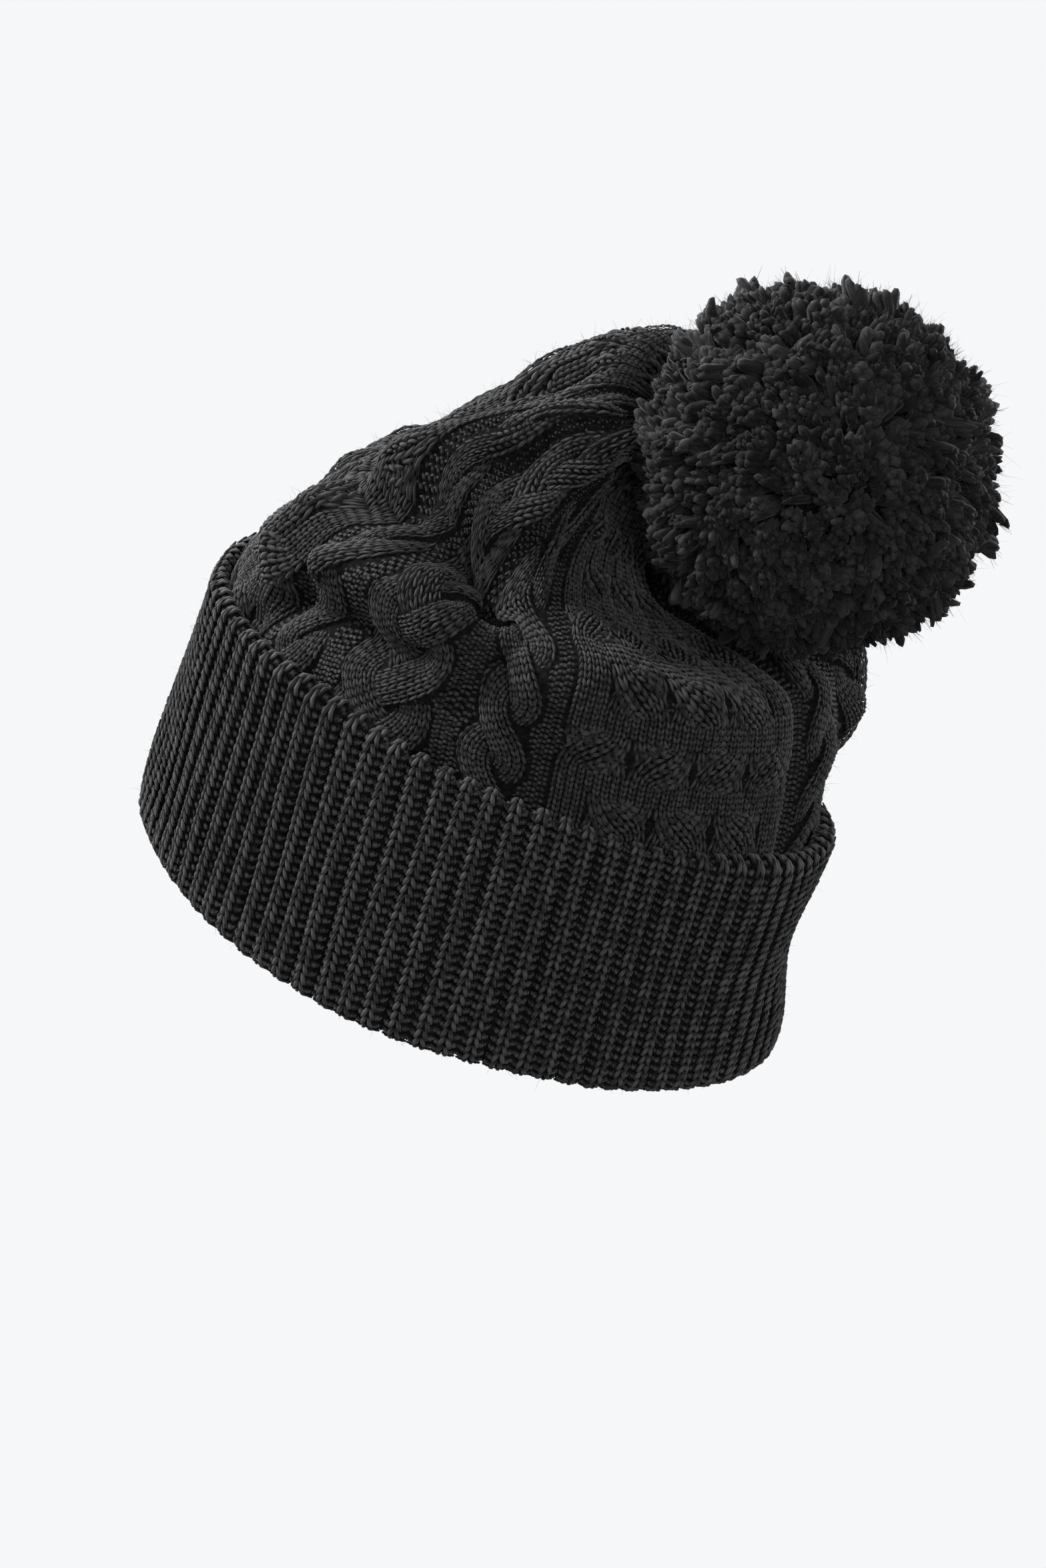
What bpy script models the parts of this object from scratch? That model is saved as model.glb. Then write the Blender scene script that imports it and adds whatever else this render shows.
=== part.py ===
"""A slouchy knitted winter hat: a deep turned-up rib cuff, a cable-knit crown and a yarn pompom.

Units are metres, +Z up.  The opening for the head lies in the plane z = 0 and its centre is the
origin.  The wearer faces -X, so the crown slouches towards +X and the pompom hangs there.
"""

import math

import bmesh
import bpy
import numpy as np

MM = 0.001

# ---- driving dimensions -------------------------------------------------------------------
BAND_HALF_LENGTH = 107 * MM      # outside of the cuff, front to back
BAND_HALF_WIDTH = 88 * MM        # outside of the cuff, ear to ear
PLY = 4.7 * MM                   # one thickness of the rib
PLY_GAP = 0.3 * MM               # air between two plies
CUFF_HEIGHT = 78 * MM            # mean height of the turned-up cuff
CUFF_DROP_BACK = 5.4 * MM        # the free edge is lower at the back and higher at the front
CUFF_DROP_RIGHT = 6.2 * MM       # and a little lower on the wearer's right
BAND_FLARE = 0.022               # the fold is this much wider than the nominal outline
BAND_TAPER = 0.032               # and the band narrows by this much over the cuff's height
BAND_TOP = 59.5 * MM             # where the rib ends and the crown begins, under the cuff
CROWN_WALL = 4.5 * MM            # thickness of the cable knit
TOUCH = 0.3 * MM                 # smallest gap between two pieces that lie on each other

POMPOM_RADIUS = 55 * MM
BASE_RIM = 31 * MM               # from the pompom's centre to the rim of its hollowed base
BASE_MOUTH = 41 * MM             # and to the middle of the base, which lies on the gather
POMPOM_REACH = 45 * MM           # from the gather to the pompom's centre
POMPOM_TILT = math.radians(20)   # its axis rises this much above +X
CORE_RADIUS = 12 * MM
POCKET_RADIUS = 15.2 * MM
POCKET_MOUTH = 7 * MM
TIE_RADIUS = 1.6 * MM
KNOT_RADIUS = 3.2 * MM
ANCHOR_RADIUS = 5 * MM

AROUND = 48                      # facets around the head
CROWN_ROWS = 20

# Stations of the crown, rim to gather.  Each is an ellipse that spans a point of the front
# profile (x, z) and a point of the back profile (x, z), with a half width; millimetres.
CROWN_STATIONS = np.array([
    (-101.0, 60.0, 101.0, 60.0, 81.6),
    (-100.0, 81.0, 100.4, 77.0, 80.8),
    (-93.0, 99.0, 99.0, 93.0, 84.6),
    (-81.0, 117.0, 96.0, 109.0, 86.5),
    (-66.0, 134.0, 89.0, 120.5, 84.5),
    (-48.5, 152.0, 73.0, 125.0, 78.0),
    (-29.0, 172.0, 55.0, 127.0, 68.0),
    (-7.5, 191.0, 41.0, 134.5, 54.0),
    (12.0, 202.5, 35.5, 147.0, 39.0),
    (20.8, 194.0, 30.5, 160.8, 22.0),
    (24.0, 183.0, 28.8, 169.0, 8.5),
    (26.1, 178.0, 28.5, 171.4, 3.4),
]) * MM

AXIS = np.array([math.cos(POMPOM_TILT), 0.0, math.sin(POMPOM_TILT)])
SIDE = np.array([math.sin(POMPOM_TILT), 0.0, -math.cos(POMPOM_TILT)])
ACROSS = np.array([0.0, 1.0, 0.0])
GATHER = np.array([27.3 * MM, 0.0, 174.7 * MM])
POMPOM_CENTRE = GATHER + POMPOM_REACH * AXIS


# ---- shapes -------------------------------------------------------------------------------
def through_rows(table, t):
    """Values at t (0 to 1) of the smooth curve through the rows of a table."""
    spans = len(table) - 1
    place = np.clip(np.asarray(t, float) * spans, 0, spans - 1e-9)
    row = place.astype(int)
    f = (place - row)[..., None]
    ends = np.vstack([2 * table[0] - table[1], table, 2 * table[-1] - table[-2]])
    a, b, c, d = (ends[row + k] for k in range(4))
    return 0.5 * (2 * b + (c - a) * f + (2 * a - 5 * b + 4 * c - d) * f**2
                  + (3 * b - a - 3 * c + d) * f**3)


def crown_surface(rows=CROWN_ROWS, around=AROUND, t_max=1.0, first=0.0, last=None, t_min=0.0):
    """Outer skin of the crown as points [row, angle, xyz] and its outward normals."""
    t = np.linspace(t_min, t_max, rows)[:, None]
    if last is None:
        angle = np.linspace(0, 2 * np.pi, around, endpoint=False)[None]
    else:
        angle = np.linspace(first, last, around)[None]
    points = crown_points(angle, t)
    step = 1e-4
    along = crown_points(angle, np.minimum(t + step, 1)) - crown_points(angle, np.maximum(t - step, 0))
    turn = crown_points(angle + step, t) - crown_points(angle - step, t)
    normals = np.cross(turn, along)
    return points, normals / np.linalg.norm(normals, axis=-1, keepdims=True)


def crown_points(angle, t):
    """Points of the crown: the ellipse of the station at t, read at an angle from the back."""
    station = through_rows(CROWN_STATIONS, t + 0 * angle)
    front_x, front_z, back_x, back_z, half = np.moveaxis(station, -1, 0)
    c, s = np.cos(angle), np.sin(angle)
    x = (front_x + back_x) / 2 + (back_x - front_x) / 2 * c
    z = (front_z + back_z) / 2 + (back_z - front_z) / 2 * c
    return np.stack([x, half * s, z], -1)


def band_ring(depth, height, angle):
    """Ring of the band, depth metres inside its outer face, at a height for each angle."""
    scale = 1 + BAND_FLARE - BAND_TAPER * height / CUFF_HEIGHT
    x = (BAND_HALF_LENGTH * scale - depth) * np.cos(angle)
    y = (BAND_HALF_WIDTH * scale - depth) * np.sin(angle)
    return np.stack([x, y, height + 0 * angle], -1)


def cuff_top(angle):
    """Height of the cuff's free edge."""
    return CUFF_HEIGHT - CUFF_DROP_BACK * np.cos(angle) - CUFF_DROP_RIGHT * np.sin(angle)


# ---- mesh helpers -------------------------------------------------------------------------
def add_object(name, mesh, material):
    """Put a mesh in the scene as one named piece, shaded smooth."""
    mesh.shade_smooth()
    mesh.set_sharp_from_angle(angle=math.radians(50))
    piece = bpy.data.objects.new(name, mesh)
    mesh.materials.append(material)
    bpy.context.scene.collection.objects.link(piece)
    return piece


def finish(name, shape, material):
    """Turn a bmesh into a piece with its faces pointing out."""
    bmesh.ops.recalc_face_normals(shape, faces=shape.faces)
    bmesh.ops.triangulate(shape, faces=shape.faces)
    mesh = bpy.data.meshes.new(name)
    shape.to_mesh(mesh)
    shape.free()
    return add_object(name, mesh, material)


def loft(name, rings, material, ends="join"):
    """Skin a list of closed rings.  ends: join the last ring to the first, cap both, or poles,
    where the first and the last entry are single points."""
    shape = bmesh.new()
    loops = [[shape.verts.new(p) for p in np.atleast_2d(ring)] for ring in rings]
    pairs = list(zip(loops, loops[1:]))
    if ends == "join":
        pairs.append((loops[-1], loops[0]))
    for low, high in pairs:
        count = max(len(low), len(high))
        for i in range(count):
            j = (i + 1) % count
            if len(low) == 1:
                shape.faces.new((low[0], high[j], high[i]))
            elif len(high) == 1:
                shape.faces.new((low[i], low[j], high[0]))
            else:
                shape.faces.new((low[i], low[j], high[j], high[i]))
    if ends == "cap":
        shape.faces.new(loops[0])
        shape.faces.new(loops[-1])
    return finish(name, shape, material)


def turned(name, profile, centre, material, around=24):
    """Turn a profile of (radius, distance along the pompom's axis) about that axis."""
    angle = np.linspace(0, 2 * np.pi, around, endpoint=False)[:, None]
    rings = []
    for radius, along in profile:
        middle = centre + along * AXIS
        if radius == 0:
            rings.append(middle)
        else:
            rings.append(middle + radius * (np.cos(angle) * SIDE + np.sin(angle) * ACROSS))
    return loft(name, rings, material, ends="poles")


def ring_cord(name, centre, first, second, radius, thickness, material, turns=28, sides=8):
    """A closed loop of cord around a centre, in the plane of two unit directions."""
    along = np.linspace(0, 2 * np.pi, turns, endpoint=False)
    section = np.linspace(0, 2 * np.pi, sides, endpoint=False)[:, None]
    normal = np.cross(first, second)
    rings = []
    for a in along:
        outward = math.cos(a) * first + math.sin(a) * second
        rings.append(centre + radius * outward
                     + thickness * (np.cos(section) * outward + np.sin(section) * normal))
    return loft(name, rings, material)


def arc(radius, start, stop, count, middle=0.0):
    """Profile points of an arc about a point of the axis, angles measured from the axis."""
    return [(radius * math.sin(a), middle + radius * math.cos(a))
            for a in np.linspace(start, stop, count)]


def knit_material(name, colour, roughness=0.9):
    """Plain yarn colour for the working model."""
    material = bpy.data.materials.new(name)
    material.use_nodes = True
    surface = material.node_tree.nodes["Principled BSDF"]
    surface.inputs["Base Color"].default_value = (*colour, 1)
    surface.inputs["Roughness"].default_value = roughness
    surface.inputs["Metallic"].default_value = 0.0
    return material


# ---- the pieces ---------------------------------------------------------------------------
def make_cuff_turn_up(material):
    """Outer ply of the rib with the rounded fold that it hangs from, a J in section."""
    angle = np.linspace(0, 2 * np.pi, AROUND, endpoint=False)
    top = cuff_top(angle)
    fold = PLY + PLY_GAP / 2
    rings = [band_ring(0, fold + (top - 2 * fold) * f, angle) for f in (0, 0.25, 0.5, 0.75, 1)]
    rings += [band_ring(PLY * (0.5 - 0.5 * math.cos(a)), top - PLY / 2 * (1 - math.sin(a)), angle)
              for a in np.linspace(0, math.pi, 5)]
    rings += [band_ring(PLY, fold + (top - 2 * fold) * f, angle) for f in (0.75, 0.4, 0)]
    lip = fold + 1.2 * MM
    rings += [band_ring(PLY + PLY_GAP, fold + 0 * angle, angle),
              band_ring(PLY + PLY_GAP, lip + 0 * angle, angle),
              band_ring(2 * PLY + PLY_GAP, lip + 0 * angle, angle)]
    rings += [band_ring(fold + fold * math.cos(a), fold - fold * math.sin(a) + 0 * angle, angle)
              for a in np.linspace(0, math.pi, 7)[:-1]]
    return loft("cuff_turn_up", rings, material)


def make_rib_band_inner(material):
    """Inner ply of the rib, which grips the head, from the fold up to the crown."""
    angle = np.linspace(0, 2 * np.pi, AROUND, endpoint=False)
    low = PLY + PLY_GAP / 2 + 1.2 * MM + TOUCH
    heights = np.linspace(low, BAND_TOP, 4)
    rings = [band_ring(PLY + PLY_GAP, h + 0 * angle, angle) for h in heights]
    rings += [band_ring(2 * PLY + PLY_GAP, h + 0 * angle, angle) for h in heights[::-1]]
    return loft("rib_band_inner", rings, material)


def make_crown(material):
    """Cable-knit shell from the rib up to the gathered hole that the tie passes through."""
    skin, normals = crown_surface()
    lining = skin - CROWN_WALL * normals
    return loft("crown_body", list(skin) + list(lining[::-1]), material)


def make_back_seam(material):
    """Seam allowance standing inside at the centre back, from the fold to the shoulder."""
    half_width, thickness, gap = 4 * MM, 2.5 * MM, 0.8 * MM
    heights = np.linspace(9 * MM, BAND_TOP - 2 * MM, 6)
    wall = band_ring(2 * PLY + PLY_GAP, heights, np.zeros_like(heights))
    inward = np.tile([-1.0, 0.0, 0.0], (len(heights), 1))
    skin, normals = crown_surface(rows=9, around=1, last=0.0, t_min=0.03, t_max=0.50)
    wall = np.vstack([wall, (skin - CROWN_WALL * normals)[:, 0]])
    inward = np.vstack([inward, -normals[:, 0]])
    rings = []
    for point, way in zip(wall, inward):
        near, far = point + gap * way, point + (gap + thickness) * way
        side = half_width * ACROSS
        rings.append(np.array([near - side, near + side, far + side, far - side]))
    return loft("back_seam", rings, material, ends="cap")


def make_care_label(material):
    """Blank woven label lying against the lining beside the back seam."""
    skin, normals = crown_surface(rows=6, around=6, first=math.radians(6), last=math.radians(24),
                                  t_min=0.06, t_max=0.24)
    gap, thickness = 1.2 * MM, 0.8 * MM
    shape = bmesh.new()
    sheets = []
    for depth in (gap, gap + thickness):
        grid = skin - (CROWN_WALL + depth) * normals
        sheets.append([[shape.verts.new(p) for p in row] for row in grid])
    outer, inner = sheets
    rows, columns = len(outer), len(outer[0])
    for sheet in sheets:
        for i in range(rows - 1):
            for j in range(columns - 1):
                shape.faces.new((sheet[i][j], sheet[i][j + 1], sheet[i + 1][j + 1], sheet[i + 1][j]))
    border = [(0, j) for j in range(columns)] + [(i, columns - 1) for i in range(1, rows)]
    border += [(rows - 1, j) for j in range(columns - 2, -1, -1)]
    border += [(i, 0) for i in range(rows - 2, 0, -1)]
    for (i, j), (k, m) in zip(border, border[1:] + border[:1]):
        shape.faces.new((outer[i][j], outer[k][m], inner[k][m], inner[i][j]))
    return finish("care_label", shape, material)


def make_gather(material):
    """Thread drawn through the last course, and the knot that keeps it tight."""
    ring_cord("gather_thread", GATHER - 6.6 * MM * AXIS, SIDE, ACROSS, 5.2 * MM, 0.8 * MM, material)
    knot = 2.2 * MM
    place = GATHER - 9.4 * MM * AXIS - 8.8 * MM * SIDE
    turned("gather_knot", arc(knot, math.pi, 0, 7), place, material, around=10)


def make_tie(material):
    """The tie: a knot inside the crown, the neck through the gather and the knot outside."""
    inner_end, outer_end = -7.0 * MM, 8.4 * MM
    anchor_place = inner_end - 0.8 * MM - ANCHOR_RADIUS
    knot_place = outer_end + 0.4 * MM + KNOT_RADIUS
    turned("anchor_knot", arc(ANCHOR_RADIUS, math.pi, 0, 9, anchor_place), GATHER, material, 14)
    neck = [(0, inner_end), (TIE_RADIUS, inner_end), (TIE_RADIUS, outer_end), (0, outer_end)]
    turned("tie_neck", neck, GATHER, material, 10)
    turned("tie_knot", arc(KNOT_RADIUS, math.pi, 0, 9, knot_place), GATHER, material, 14)
    first = knot_place + KNOT_RADIUS + 0.4 * MM
    last = POMPOM_REACH - 15.0 * MM
    cord = [(0, first), (TIE_RADIUS, first), (TIE_RADIUS, last), (0, last)]
    turned("pompom_tie_cord", cord, GATHER, material, 10)


def make_pompom(yarn, cord):
    """Ball of cut yarn with a flattened base, its bound core and the cord that binds it."""
    rim = math.acos(-(BASE_RIM - 2.5 * MM) / POMPOM_RADIUS)
    mouth = math.pi - math.asin(POCKET_MOUTH / POCKET_RADIUS)
    profile = arc(POMPOM_RADIUS, 0, rim, 14)
    profile += [(POMPOM_RADIUS * math.sin(rim) - 3 * MM, -BASE_RIM), (POCKET_MOUTH, -BASE_MOUTH)]
    profile += arc(POCKET_RADIUS, mouth, 0, 8)
    turned("pompom_yarn", profile, POMPOM_CENTRE, yarn, around=32)
    turned("pompom_core", arc(CORE_RADIUS, math.pi, 0, 9), POMPOM_CENTRE, yarn, around=16)
    ring_cord("binding_cord", POMPOM_CENTRE, AXIS, SIDE, 13.4 * MM, 1.1 * MM, cord)


def clear_scene():
    """Start from nothing."""
    for item in list(bpy.data.objects):
        bpy.data.objects.remove(item)


def main():
    """Build the hat."""
    clear_scene()
    rib = knit_material("rib_knit", (0.018, 0.018, 0.019))
    cable = knit_material("cable_knit", (0.020, 0.020, 0.021))
    yarn = knit_material("pompom_yarn", (0.017, 0.017, 0.018))
    thread = knit_material("tie_cord", (0.015, 0.015, 0.016), 0.8)
    label = knit_material("label_cloth", (0.62, 0.61, 0.58), 0.7)
    make_cuff_turn_up(rib)
    make_rib_band_inner(rib)
    make_crown(cable)
    make_back_seam(cable)
    make_care_label(label)
    make_gather(thread)
    make_tie(thread)
    make_pompom(yarn, thread)


main()
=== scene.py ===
"""Looks of a slouchy cable-knit winter hat with a deep turned-up rib cuff and a yarn pompom.

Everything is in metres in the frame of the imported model: the head opening lies in z = 0 with its
centre at the origin, +Z is up, the wearer faces -X and the crown slouches towards +X. Angles go
round the hat from +X, the centre back, and are in radians unless a name says degrees.
"""

import logging
import math
from dataclasses import dataclass, field
from enum import Enum
from typing import Callable

import bpy
import numpy as np
from mathutils import Matrix, Vector

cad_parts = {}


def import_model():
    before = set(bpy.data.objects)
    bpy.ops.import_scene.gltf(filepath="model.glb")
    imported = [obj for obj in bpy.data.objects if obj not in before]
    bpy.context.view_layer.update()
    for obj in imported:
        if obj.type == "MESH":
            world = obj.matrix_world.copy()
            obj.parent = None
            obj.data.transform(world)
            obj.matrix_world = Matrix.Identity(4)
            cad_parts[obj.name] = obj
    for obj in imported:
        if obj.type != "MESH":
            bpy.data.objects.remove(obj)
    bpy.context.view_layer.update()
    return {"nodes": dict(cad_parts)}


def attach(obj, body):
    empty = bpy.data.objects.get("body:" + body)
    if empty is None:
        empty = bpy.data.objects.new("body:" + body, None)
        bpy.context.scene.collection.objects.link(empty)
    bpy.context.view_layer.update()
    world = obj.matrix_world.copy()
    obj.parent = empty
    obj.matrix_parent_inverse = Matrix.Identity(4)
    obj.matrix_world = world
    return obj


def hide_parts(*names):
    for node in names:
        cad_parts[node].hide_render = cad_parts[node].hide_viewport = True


MM = 0.001
TAU = 2 * math.pi
LEGS = np.array([-1.0, 1.0])  # the two legs of a knitted stitch
LOG = logging.getLogger("hat")
Array = np.ndarray
Random = np.random.Generator
Socket = bpy.types.NodeSocket
Material = bpy.types.Material
Spots = tuple[Array, Array, Array]  # angle, row and lift of many points on a cloth
Place = Callable[[Array, Array, Array], tuple[Array, Array]]


# ---- whole-array geometry -------------------------------------------------------------------


def unit(v: Array) -> Array:
    """Returns the vectors of v at length one."""
    return v / np.maximum(np.linalg.norm(v, axis=-1, keepdims=True), 1e-12)


def bell(gap: Array, width: float, power: float = 2.0) -> Array:
    """Returns exp(-(gap / width)^power): 1 where there is no gap, mostly gone at the width."""
    return np.exp(-((gap / width) ** power))


def turn_from(angle: Array, degrees: float) -> Array:
    """Returns the turn from a direction in degrees to angle, within half a turn either way."""
    return (angle - math.radians(degrees) + math.pi) % TAU - math.pi


def around(count: int) -> Array:
    """Returns count even angles of a whole turn, from 0, as a column."""
    return np.linspace(0, TAU, count + 1)[:-1, None]


def every(*axes: Array) -> list[Array]:
    """Returns every combination of the axes' values, one flat array for each axis."""
    return [a.ravel() for a in np.meshgrid(*axes, indexing="ij")]


def ball(down: Array, turn: Array) -> Array:
    """Returns directions at the angle down from +Z and the turn round it from +X."""
    return np.stack(np.broadcast_arrays(np.sin(down) * np.cos(turn), np.sin(down) * np.sin(turn),
                                        np.cos(down)), -1)


def highest_near(grid: Array) -> Array:
    """Returns the highest of each point and its eight neighbours, joined up at the borders."""
    steps = (-1, 0, 1)
    return np.maximum.reduce([np.roll(grid, (a, b), (0, 1)) for a in steps for b in steps])


def polygon(sides: int, flat: bool = False) -> Array:
    """Corners of a unit section, anticlockwise.

    Args:
        sides: how many corners.
        flat: a half round, sunk by 0.35, instead of a full round.

    Returns:
        (sides, 2) of cos a, sin a, with a over the half or the full turn.
    """
    if flat:
        a = np.linspace(0, math.pi, sides)
        return np.stack([np.cos(a), np.sin(a) - 0.35], -1)
    a = np.arange(sides) * TAU / sides
    return np.stack([np.cos(a), np.sin(a)], -1)


def quads_of(rows: int, columns: int, joined: tuple[bool, bool]) -> Array:
    """Joins a grid of points, numbered row by row, into quads.

    Args:
        rows: how many rows of points.
        columns: how many points in each row.
        joined: whether the last row meets the first, and the last column the first.

    Returns:
        (N, 4) of (i, j), (i, j + 1), (i + 1, j + 1), (i + 1, j).
    """
    i, j = every(np.arange(rows - (not joined[0])), np.arange(columns - (not joined[1])))
    here, below, beside = i * columns, (i + 1) % rows * columns, (j + 1) % columns
    return np.stack([here + j, here + beside, below + beside, below + j], -1)


@dataclass
class Shape:
    """Vertices, quads, triangles, and for each vertex the across, along and tone of its strand."""

    points: Array
    quads: Array
    triangles: Array
    strand: Array

    def __add__(self, other: "Shape") -> "Shape":
        """Returns both shapes as one."""
        n = len(self.points)
        return Shape(np.concatenate([self.points, other.points]),
                     np.concatenate([self.quads, other.quads + n]),
                     np.concatenate([self.triangles, other.triangles + n]),
                     np.concatenate([self.strand, other.strand]))

    def count(self) -> int:
        """Returns the number of triangles."""
        return 2 * len(self.quads) + len(self.triangles)


def tubes(path: Array, up: Array, width: Array, height: Array, section: Array, tone: Array,
          cap: float = 0.35, jag: Array | None = None) -> Shape:
    """Many closed strands at once: a section carried along each path.

    A ring's corner is P + side*width*x + lift*height*y, with side = up x tangent and
    lift = tangent x side; each end closes on a pole a little past the last ring, or a little
    short of it where the end is frayed.

    Args:
        path: (M, R, 3) centre points of the rings.
        up: (M, R, 3) or (M, 1, 3) direction that the strand's back faces.
        width: half widths, broadcast to (M, R).
        height: half heights, broadcast to (M, R).
        section: (K, 2) unit section.
        tone: (M,) a number from 0 to 1 for each strand.
        cap: how far a pole lies past its ring, in half widths.
        jag: (M, K) shift of the last ring's corners along the strand, for a frayed end.

    Returns:
        The closed strands as one shape.
    """
    m, r, _ = path.shape
    k = len(section)
    tangent = unit(np.gradient(path, axis=1))
    side = unit(np.cross(np.broadcast_to(up, path.shape), tangent))
    lift = np.cross(tangent, side)
    w, h = (np.broadcast_to(half, (m, r))[..., None, None] for half in (width, height))
    ring = (path[:, :, None] + side[:, :, None] * w * section[None, None, :, :1]
            + lift[:, :, None] * h * section[None, None, :, 1:])
    last_cap = cap
    if jag is not None:
        ring[:, -1] += tangent[:, -1, None] * jag[..., None]
        last_cap = -0.5
    first = path[:, 0] - tangent[:, 0] * cap * w[:, 0, 0]
    last = path[:, -1] + tangent[:, -1] * last_cap * w[:, -1, 0]
    points = np.concatenate([ring.reshape(m, r * k, 3), first[:, None], last[:, None]], 1)
    j = np.arange(k)
    after, end = (j + 1) % k, (r - 1) * k
    fan = np.concatenate([np.stack([after, j, np.full(k, r * k)], -1),
                          np.stack([end + j, end + after, np.full(k, r * k + 1)], -1)])
    base = (np.arange(m) * (r * k + 2))[:, None, None]
    strand = np.empty((m, r * k + 2, 3))
    strand[..., 0] = np.concatenate([np.tile(np.arange(k) / k, r), [0.5, 0.5]])
    strand[..., 1] = np.concatenate([np.repeat(np.linspace(0.1, 0.9, r), k), [0.0, 1.0]])
    strand[..., 2] = np.asarray(tone)[:, None]
    return Shape(points.reshape(-1, 3), (base + quads_of(r, k, (False, True))).reshape(-1, 4),
                 (base + fan).reshape(-1, 3), strand.reshape(-1, 3))


def wrapped_sheet(grid: Array, closed_rows: bool) -> Shape:
    """A grid of points joined into a surface that closes round its columns.

    Args:
        grid: (A, S, 3); A goes round the hat and joins up, S goes along the section.
        closed_rows: the section joins up too, which makes a ring; otherwise each end is
            closed with a fan to its middle.

    Returns:
        The closed surface, facing away from the section's left when A goes anticlockwise.
    """
    a, s, _ = grid.shape
    points, fans = grid.reshape(-1, 3), np.zeros((0, 3), int)
    strand = np.stack(np.broadcast_arrays(np.linspace(0, 1, a)[:, None], np.linspace(0, 1, s),
                                          0.5), -1).reshape(-1, 3)
    if not closed_rows:
        n = len(points)
        points = np.concatenate([points, grid[:, 0].mean(0)[None], grid[:, -1].mean(0)[None]])
        strand = np.concatenate([strand, [[0.5, 0, 0.5], [0.5, 1, 0.5]]])
        c = np.arange(a)
        d = (c + 1) % a
        fans = np.concatenate([np.stack([d * s, c * s, np.full(a, n)], -1),
                               np.stack([c * s + s - 1, d * s + s - 1, np.full(a, n + 1)], -1)])
    return Shape(points, quads_of(a, s, (True, closed_rows))[:, [0, 3, 2, 1]], fans, strand)


def put(name: str, data: bpy.types.ID) -> bpy.types.Object:
    """Returns a new object of that name and data, linked to the scene."""
    made = bpy.data.objects.new(name, data)
    bpy.context.scene.collection.objects.link(made)
    return made


def add_piece(name: str, shape: Shape, material: Material, body: str,
              stands_for: tuple[str, ...] = ()) -> bpy.types.Object:
    """Puts a shape into the scene as one piece of the hat.

    Args:
        name: the piece's name.
        shape: its surface.
        material: its finish.
        body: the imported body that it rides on.
        stands_for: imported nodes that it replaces.

    Returns:
        The new object, at the origin.
    """
    mesh = bpy.data.meshes.new(name)
    q, t = len(shape.quads), len(shape.triangles)
    corners = np.concatenate([shape.quads.ravel(), shape.triangles.ravel()])
    starts = np.concatenate([np.arange(q) * 4, 4 * q + np.arange(t) * 3])
    mesh.vertices.add(len(shape.points))
    mesh.vertices.foreach_set("co", shape.points.astype(np.float32).ravel())
    mesh.loops.add(len(corners))
    mesh.loops.foreach_set("vertex_index", corners.astype(np.int32))
    mesh.polygons.add(q + t)
    mesh.polygons.foreach_set("loop_start", starts.astype(np.int32))
    strand = mesh.attributes.new("strand", "FLOAT_VECTOR", "POINT")
    strand.data.foreach_set("vector", shape.strand.astype(np.float32).ravel())
    mesh.update(calc_edges=True)
    mesh.shade_smooth()
    mesh.materials.append(material)
    obj = put(name, mesh)
    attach(obj, body)
    if stands_for:
        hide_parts(*stands_for)
    LOG.info("%s: %d triangles", name, shape.count())
    return obj


# ---- finishes ---------------------------------------------------------------------------------


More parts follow.
